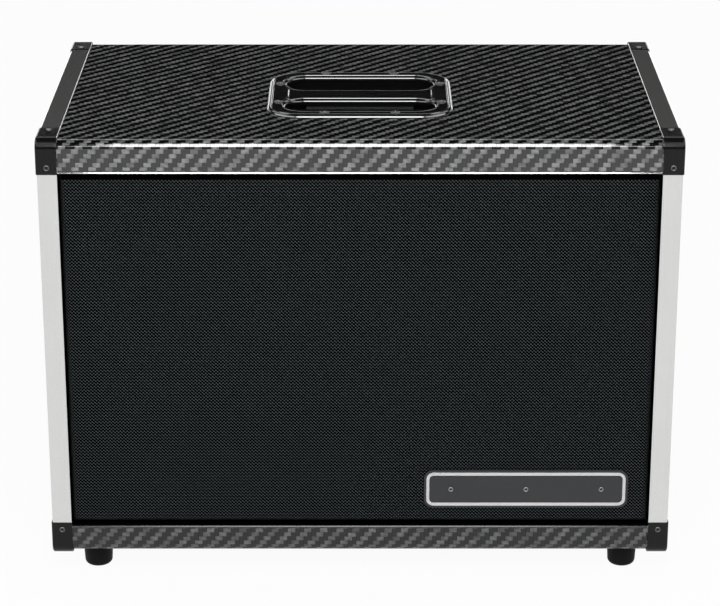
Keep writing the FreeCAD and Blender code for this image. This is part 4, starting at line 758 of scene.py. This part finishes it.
def cloth_shape(low, high):
    """Points, faces and flat places of a cloth over a box front: rounded edges, drawn back over the sides.

    A point q of the sharp box goes to c + r * (q - c) / |q - c|, where c is the nearest point of a box
    smaller by r. The field inside the frame's window lies a little deeper, where no timber backs it.
    """
    r = 3.8 * MM
    member = 20.0 * MM
    sag, sag_from, sag_to = 0.6 * MM, 2.0 * MM, 7.0 * MM
    round_edge = np.linspace(0.0, r, 7)
    near_edge = np.concatenate((round_edge, np.linspace(r, 2.0 * member, 16)[1:]))

    def span(axis, steps):
        """Grid lines across the front, closer together near its edges."""
        field = np.linspace(low[axis], high[axis], steps)[4:-4]
        return np.concatenate((low[axis] + near_edge, field, (high[axis] - near_edge)[::-1]))

    x, z = np.meshgrid(span(0, 40), span(2, 28))
    front = np.stack((x, np.full_like(x, low[1]), z), axis=-1)
    rim = np.concatenate((front[0, :-1], front[:-1, -1], front[-1, :0:-1], front[:0:-1, 0]))
    deep = np.concatenate((round_edge, [high[1] - low[1]]))
    sides = rim[None] + deep[:, None, None] * (0.0, 1.0, 0.0)
    sharp = np.concatenate((front.reshape(-1, 3), sides.reshape(-1, 3)))
    core = np.clip(sharp, low + r, (high[0] - r, high[1] + 1.0, high[2] - r))
    away = unit(sharp - core)
    points = core + r * away
    widest = high[0] - member
    slack_x = smooth(np.abs(sharp[:, 0]), widest + sag_from, widest - sag_to)
    lowest, highest = low[2] + member, high[2] - member
    slack_z = smooth(sharp[:, 2], lowest - sag_from, lowest + sag_to)
    slack_z *= smooth(-sharp[:, 2], -highest - sag_from, -highest + sag_to)
    on_front = np.arange(len(sharp)) < x.size
    points[:, 1] += sag * slack_x * slack_z * on_front
    side_faces = grid_faces(len(deep), len(rim), closed=True) + x.size
    faces = np.concatenate((grid_faces(*x.shape), side_faces))
    drawn = (sharp[:, 1] - low[1])[:, None]
    outward = np.sign(sharp[:, [0, 2]]) * (np.abs(away[:, [0, 2]]) > 0.5)
    return points, faces, sharp[:, [0, 2]] + outward * drawn


def stretched_cloth(finish):
    """Grille cloth: one sheet over the front and sides of its frame, with the weave laid on it flat."""
    low, high = node_box("grille_cloth")
    points, faces, unrolled = cloth_shape(low, high)
    mesh = bpy.data.meshes.new("grille_cloth_sheet")
    mesh.from_pydata(points, [], faces)
    layer = mesh.uv_layers.new(name="cloth")
    corners = np.zeros(len(mesh.loops), dtype=np.int32)
    mesh.loops.foreach_get("vertex_index", corners)
    layer.data.foreach_set("uv", unrolled[corners].astype(np.float32).ravel())
    merge_into(mesh, mesh, outwards=True)
    mesh.shade_smooth()
    mesh.materials.append(finish)
    piece = placed("grille_cloth_sheet", mesh)
    wall = piece.modifiers.new("thickness", "SOLIDIFY")
    wall.thickness = 0.8 * MM
    wall.offset = -1.0
    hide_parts("grille_cloth")
    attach(piece, "grille")
    drop = high[1] - low[1]
    flat = (high[0] - low[0] + 2.0 * drop, high[2] - low[2] + 2.0 * drop)
    area = flat[0] * flat[1] - 4.0 * drop * drop
    return piece


def rubber_foot(node, finish):
    """Moulded foot: a taper that rounds under into a narrow sole, with a well for its screw."""
    low, high = node_box(node)
    middle = (low + high) / 2.0
    radius = (high[0] - low[0]) / 2.0
    height = high[2] - low[2]
    rounding, chamfer = 4.4 * MM, 0.5 * MM
    waist = radius - 1.0 * MM
    well, well_depth, bore = 5.5 * MM, 14.0 * MM, 2.25 * MM
    turn = np.linspace(0.0, math.pi / 2.0, 10)
    reach = np.concatenate(([0.0, radius - chamfer, radius], waist - rounding * (1.0 - np.cos(turn)),
                            [well, well, bore, bore, 0.0]))
    rise = np.concatenate(([height, height, height - chamfer], rounding * (1.0 - np.sin(turn)),
                           [0.0, well_depth, well_depth, well_depth + MM, well_depth + MM]))
    spot = (middle[0], middle[1], low[2])
    points, quads = set_out(*turned(reach, rise, 48), [(spot, (0, 0, 1))])
    return make_piece(node + "_rubber", points, quads, finish, "cabinet", [node])


def badge(plate_finish, rim_finish):
    """Plain plate with a raised pale border: loops of a rounded rectangle, drawn in to its middle line."""
    low, high = node_box("badge_plate")
    middle = (low + high) / 2.0
    half_x, half_z = (high - low)[[0, 2]] / 2.0
    radius = 9.0 * MM
    back = high[1]
    thick = back - low[1]
    spine, direction = slab_loop(half_x, half_z, radius, 20, 4, (10, 10, 10, 10))
    # Inset in millimetres and share of the thickness, from the back edge over the border to the field
    section = np.array([(0.0, 0.0), (0.0, 0.5), (0.25, 0.65), (2.2, 0.65), (2.3, 0.8), (2.5, 1.0), (4.9, 1.0),
                        (5.1, 0.8), (5.2, 0.55)])
    border_from, border_to = 2.22 * MM, 5.18 * MM
    loops = [spine * (1.0, 0.0)]
    loops += [spine + direction * (radius - inset * MM) for inset in section[:, 0]]
    loops.append(spine * (1.0, 0.0))
    flat = np.array(loops)
    share = np.concatenate(([0.0], section[:, 1], section[-1:, 1]))
    depth = np.repeat(back - thick * share[:, None], flat.shape[1], axis=1)
    points = np.stack((flat[..., 0] + middle[0], depth, flat[..., 1] + middle[2]), axis=-1).reshape(-1, 3)
    faces = grid_faces(len(loops), flat.shape[1], closed=True)
    piece = make_piece("badge_bare_plate", points, faces, plate_finish, "grille",
                       ["badge_plate"], crease=50.0)
    piece.data.materials.append(rim_finish)
    inset = -slab_distance(*(face_middles(piece.data)[:, [0, 2]] - middle[[0, 2]]).T, half_x, half_z, radius)
    on_border = (inset > border_from) & (inset < border_to)
    piece.data.polygons.foreach_set("material_index", on_border.astype(np.int32))
    return piece


def face_middles(mesh):
    """Centres of a mesh's faces."""
    middles = np.zeros(len(mesh.polygons) * 3)
    mesh.polygons.foreach_get("center", middles)
    return middles.reshape(-1, 3)


def limp_copy(node, finishes, slot, weight_of):
    """A copy of a flexible solid that bends with the cone: weight_of says how far points follow, 0 to 1."""
    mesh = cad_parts[node].data.copy()
    mesh.name = node + "_flexing"
    merge_into(mesh, mesh)
    mesh.materials.clear()
    mesh.materials.append(finishes[slot])
    piece = placed(node + "_flexing", mesh)
    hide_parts(node)
    low, high = node_box(node)
    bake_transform(piece, "cabinet", "cone", start=(0.0, high[1], 0.0), end=(0.0, low[1], 0.0))
    spots = np.zeros(len(mesh.vertices) * 3)
    mesh.vertices.foreach_get("co", spots)
    mesh.attributes["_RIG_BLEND"].data.foreach_set("value", weight_of(spots.reshape(-1, 3)).astype(np.float32))
    return piece


def studio():
    """White floor and room, a softbox in front, low rim lights behind, reflector cards and a dark canopy."""
    reach = 9.0
    corners = [(-reach, -reach, 0.0), (reach, -reach, 0.0), (reach, reach, 0.0), (-reach, reach, 0.0)]
    stand(floor_paper(), corners, [(0, 1, 2, 3)])
    dark_canopy()
    world = bpy.data.worlds.new("white_room")
    world.use_nodes = True
    room = Nodes(world.node_tree)
    back = world.node_tree.nodes["Background"]
    room.connect(back.inputs["Color"], (1.0, 1.0, 1.0))
    room.connect(back.inputs["Strength"], ROOM_LIGHT + (ROOM_SEEN - ROOM_LIGHT) * room.seen())
    bpy.context.scene.world = world
    target = np.array((0.0, node_box("top_panel")[0][1], node_box("top_panel")[1][2]))
    rise, distance = math.radians(44.5), 2.4
    place = target + distance * np.array((0.0, -math.cos(rise), math.sin(rise)))
    soft_lamp("front_softbox", place, target, width=0.92, height=1.8, power=48.0)
    for side, name in ((-1.0, "left_rim_light"), (1.0, "right_rim_light")):
        soft_lamp(name, (side * 0.9, 2.85, 0.68), target, width=0.9, height=0.4, power=2.4)
    # The gaps between these cards let the lips' highlights fade towards their ends
    cards = {"front_card": (-13.5, 13.5), "left_card": (-110.0, -26.0), "right_card": (26.0, 110.0)}
    for name, turns in cards.items():
        reflector_card(name, target, turns, rises=(24.0, 60.0), glow=4.0)
    reflector_card("rear_card", target, turns=(140.0, 220.0), rises=(28.0, 50.0), glow=1.2)


def stand(finish, points, faces):
    """A piece of the studio round the object."""
    mesh = bpy.data.meshes.new(finish.name)
    mesh.from_pydata(points, [], faces)
    mesh.materials.append(finish)
    piece = placed(finish.name, mesh)
    return piece


def floor_paper():
    """White paper that is seen nearly as bright as the room, and still takes the object's shadow."""
    paper = Finish("floor_paper", Base_Color=(0.92, 0.92, 0.92), Roughness=0.9, Specular_IOR_Level=0.0)
    glow = paper.node("ShaderNodeEmission", {}, {"Color": (1.0, 1.0, 1.0), "Strength": 1.0})
    plain = Value(paper, paper.shader.outputs[0])
    lit = paper.node("ShaderNodeMixShader", {}, [paper.seen() * 0.95, plain, glow])
    paper.connect(paper.tree.nodes["Material Output"].inputs["Surface"], lit)
    return paper.material


def dark_canopy():
    """Dark cloth over the stage that only reflections see: a profile turned about Z.

    Its hem hangs near the object's top in front and rises to the back as the sine of the angle, over a pale
    horizon, with a peak halfway to each side.
    """
    cloth = Finish("dark_canopy", Base_Color=(0.004, 0.004, 0.004), Roughness=1.0, Specular_IOR_Level=0.0)
    profile = np.array([(3.9, 0.7), (3.9, 2.8), (3.0, 4.2), (0.0, 4.8)])
    steps = 48
    points = turned_points(profile[:, 0], profile[:, 1], steps)
    across, back = points[0, :, 0] / profile[0, 0], points[0, :, 1] / profile[0, 0]
    points[0, :, 2] += 0.25 * back + 0.6 * (2.0 * across * np.maximum(back, 0.0)) ** 2
    only_for_gloss(stand(cloth.material, points.reshape(-1, 3), grid_faces(len(profile), steps, closed=True)))


def reflector_card(name, middle, turns, rises, glow):
    """A pale card that only reflections see: a patch of a sphere, in degrees round from the front and up."""
    card = Finish(name, Base_Color=(0.0, 0.0, 0.0), Specular_IOR_Level=0.0, Emission_Color=(1.0, 1.0, 1.0),
                  Emission_Strength=glow)
    radius = 2.8
    turn, rise = np.meshgrid(np.radians(np.linspace(*turns, 45)), np.radians(np.linspace(*rises, 7)))
    facing = (np.sin(turn) * np.cos(rise), -np.cos(turn) * np.cos(rise), np.sin(rise))
    points = middle + radius * np.stack(facing, axis=-1).reshape(-1, 3)
    only_for_gloss(stand(card.material, points, grid_faces(*turn.shape)))


def only_for_gloss(piece):
    """Leaves a piece of the studio to reflections alone."""
    piece.visible_camera = False
    piece.visible_diffuse = False
    piece.visible_shadow = False
    piece.visible_transmission = False


def soft_lamp(name, place, target, width, height, power):
    """A softbox that faces a target and isn't seen itself."""
    lamp = bpy.data.lights.new(name, "AREA")
    lamp.shape = "RECTANGLE"
    lamp.size, lamp.size_y = width, height
    lamp.energy = power
    holder = placed(name, lamp)
    holder.location = place
    aim = np.array(target) - np.array(place)
    flat = math.hypot(aim[0], aim[1])
    holder.rotation_euler = (math.atan2(flat, -aim[2]), 0.0, math.atan2(aim[1], aim[0]) - math.pi / 2.0)
    holder.visible_camera = False


def camera():
    """Looks along +Y and down by the pitch, at a point on the cabinet's middle plane."""
    lens = bpy.data.cameras.new("camera")
    lens.sensor_fit = "HORIZONTAL"
    lens.sensor_width = SENSOR_WIDTH
    lens.lens = FOCAL_PIXELS * SENSOR_WIDTH / IMAGE_WIDTH
    eye = placed("camera", lens)
    back = CAMERA_DISTANCE * math.cos(CAMERA_PITCH)
    eye.location = (0.0, -back, LOOK_AT_HEIGHT + CAMERA_DISTANCE * math.sin(CAMERA_PITCH))
    eye.rotation_euler = (math.pi / 2.0 - CAMERA_PITCH, 0.0, 0.0)
    bpy.context.scene.camera = eye


def radial_weight(inner, outer):
    """How far a ring of cloth follows the cone: 1 at its inner edge, 0 at its outer edge."""
    def weight(spots):
        reach = np.hypot(spots[:, 0], spots[:, 2] - driver_axis_height())
        return smooth(-reach, -outer, -inner)
    return weight


def corner_rivet_places():
    """Three rivets in each corner cap, on its front or rear, top or bottom, and side legs."""
    cap_low, cap_high = node_box("corner_right_front_top")
    half_x, half_y, top = cap_high[0], -cap_low[1], cap_high[2]
    foot = node_box("corner_right_front_bottom")[0][2]
    edge = 6.5 * MM
    across = half_x - 10.0 * MM
    along = -cap_high[1] + edge
    inset = 13.0 * MM
    levels = ((cap_low[2] + edge, 1, top), (foot + top - cap_low[2] - edge, -1, foot))
    for sx in (-1, 1):
        for sy in (-1, 1):
            for level, sz, height in levels:
                yield (sx * across, sy * half_y, level), (0, sy, 0)
                yield (sx * across, sy * along, height), (0, 0, sz)
                yield (sx * half_x, sy * (half_y - inset), level), (sx, 0, 0)


def badge_rivet_places():
    """Three rivets in a row along the badge's middle, seated on its field where the solids' heads are."""
    low, high = node_box("badge_rivets")
    head_radius, head_height = 1.9 * MM, 0.5 * MM
    for across in np.linspace(low[0] + head_radius, high[0] - head_radius, 3):
        yield (across, low[1] + head_height, (low[2] + high[2]) / 2.0), (0, -1, 0)


def rear_screw_places():
    """Screws along the rear board's edges, one more at each side, and one in each corner of the dish."""
    head = 4.0 * MM
    corner_inset = 52.0 * MM
    low, high = node_box("rear_screws")
    board = node_box("rear_panel")[1][1]
    outer, bottom, top = high[0] - head, low[2] + head, high[2] - head
    for level in (bottom, top):
        for across in np.linspace(-1.0, 1.0, 4) * (outer - corner_inset):
            yield (across, board, level), (0, 1, 0)
    dish_low, dish_high = node_box("connector_dish")
    inset = 6.0 * MM
    for sx in (-1, 1):
        yield (sx * outer, board, (bottom + top) / 2.0), (0, 1, 0)
        for level in (dish_low[2] + inset, dish_high[2] - inset):
            yield (sx * (dish_high[0] - inset), dish_high[1], level), (0, 1, 0)


def handle_screw_places():
    """Two screws at each end of the handle's plate, and two along each of its long sides."""
    low, high = node_box("handle_frame")
    middle_y = (low[1] + high[1]) / 2.0
    seat = high[2] - 0.4 * MM
    end_place, side_place = (75.5 * MM, 31.0 * MM), (32.5 * MM, 67.0 * MM)
    for sx in (-1, 1):
        for sy in (-1, 1):
            for x, y in (end_place, side_place):
                yield (sx * x, middle_y + sy * y, seat), (0, 0, 1)


def build():
    """Dresses the solids, then makes every piece that is the scene's own."""
    finishes = dress_solids()
    bar_handle(finishes["handle_black"])
    screw = finishes["screw_black"]
    pan_heads("handle_screw_heads", list(handle_screw_places()), 4.4 * MM, 1.45 * MM, screw, "handle_screws")
    pan_heads("rear_screw_heads", list(rear_screw_places()), 4.0 * MM, 1.6 * MM, screw, "rear_screws")
    softened("connector_dish", 0.6 * MM, finishes, "dish_black")
    softened("jack_nuts", 0.3 * MM, finishes, "nut_nickel")
    hollow_rivets("corner_rivets", list(corner_rivet_places()), 2.8 * MM, 0.9 * MM, 1.25 * MM, "cabinet",
                  finishes["rivet_black"], finishes["black_board"])
    hollow_rivets("badge_rivets", list(badge_rivet_places()), 2.4 * MM, 0.5 * MM, 1.1 * MM, "grille",
                  finishes["badge_rivet_steel"], finishes["black_board"])
    aluminium = {1: satin_aluminium("edge_aluminium_level", 1), 2: finishes["edge_aluminium"]}
    for side in ("left", "right"):
        for edge in ("front", "rear", "top", "bottom"):
            edge_strip(f"{side}_{edge}_strip", aluminium)
        for end in ("front", "rear"):
            for level in ("top", "bottom"):
                softened(f"corner_{side}_{end}_{level}", 0.3 * MM, finishes, "corner_black")
            rubber_foot(f"foot_{side}_{end}", finishes["foot_rubber"])
    lip_trims(finishes["edge_aluminium"], finishes["handle_black"])
    stretched_cloth(finishes["grille_weave"])
    border = painted("badge_border_pale", (0.62, 0.62, 0.62), (0.74, 0.74, 0.74), 900.0, 0.01, 0.35, 0.4)
    badge(finishes["badge_grey"], border)
    surround_glue, spider_glue = 10.0 * MM, 6.0 * MM
    weight = radial_weight(node_box("speaker_cone")[1][0], node_box("surround")[1][0] - surround_glue)
    limp_copy("surround", finishes, "edge_cloth", weight)
    weight = radial_weight(node_box("coil_former")[1][0], node_box("spider")[1][0] - spider_glue)
    limp_copy("spider", finishes, "spider_cloth", weight)
    lead_low, lead_high = node_box("coil_leads")
    limp_copy("coil_leads", finishes, "coil_copper",
              lambda spots: smooth(-spots[:, 1], -lead_high[1], -lead_low[1]))


bpy.context.scene.view_settings.view_transform = "Standard"
camera()
studio()
build()
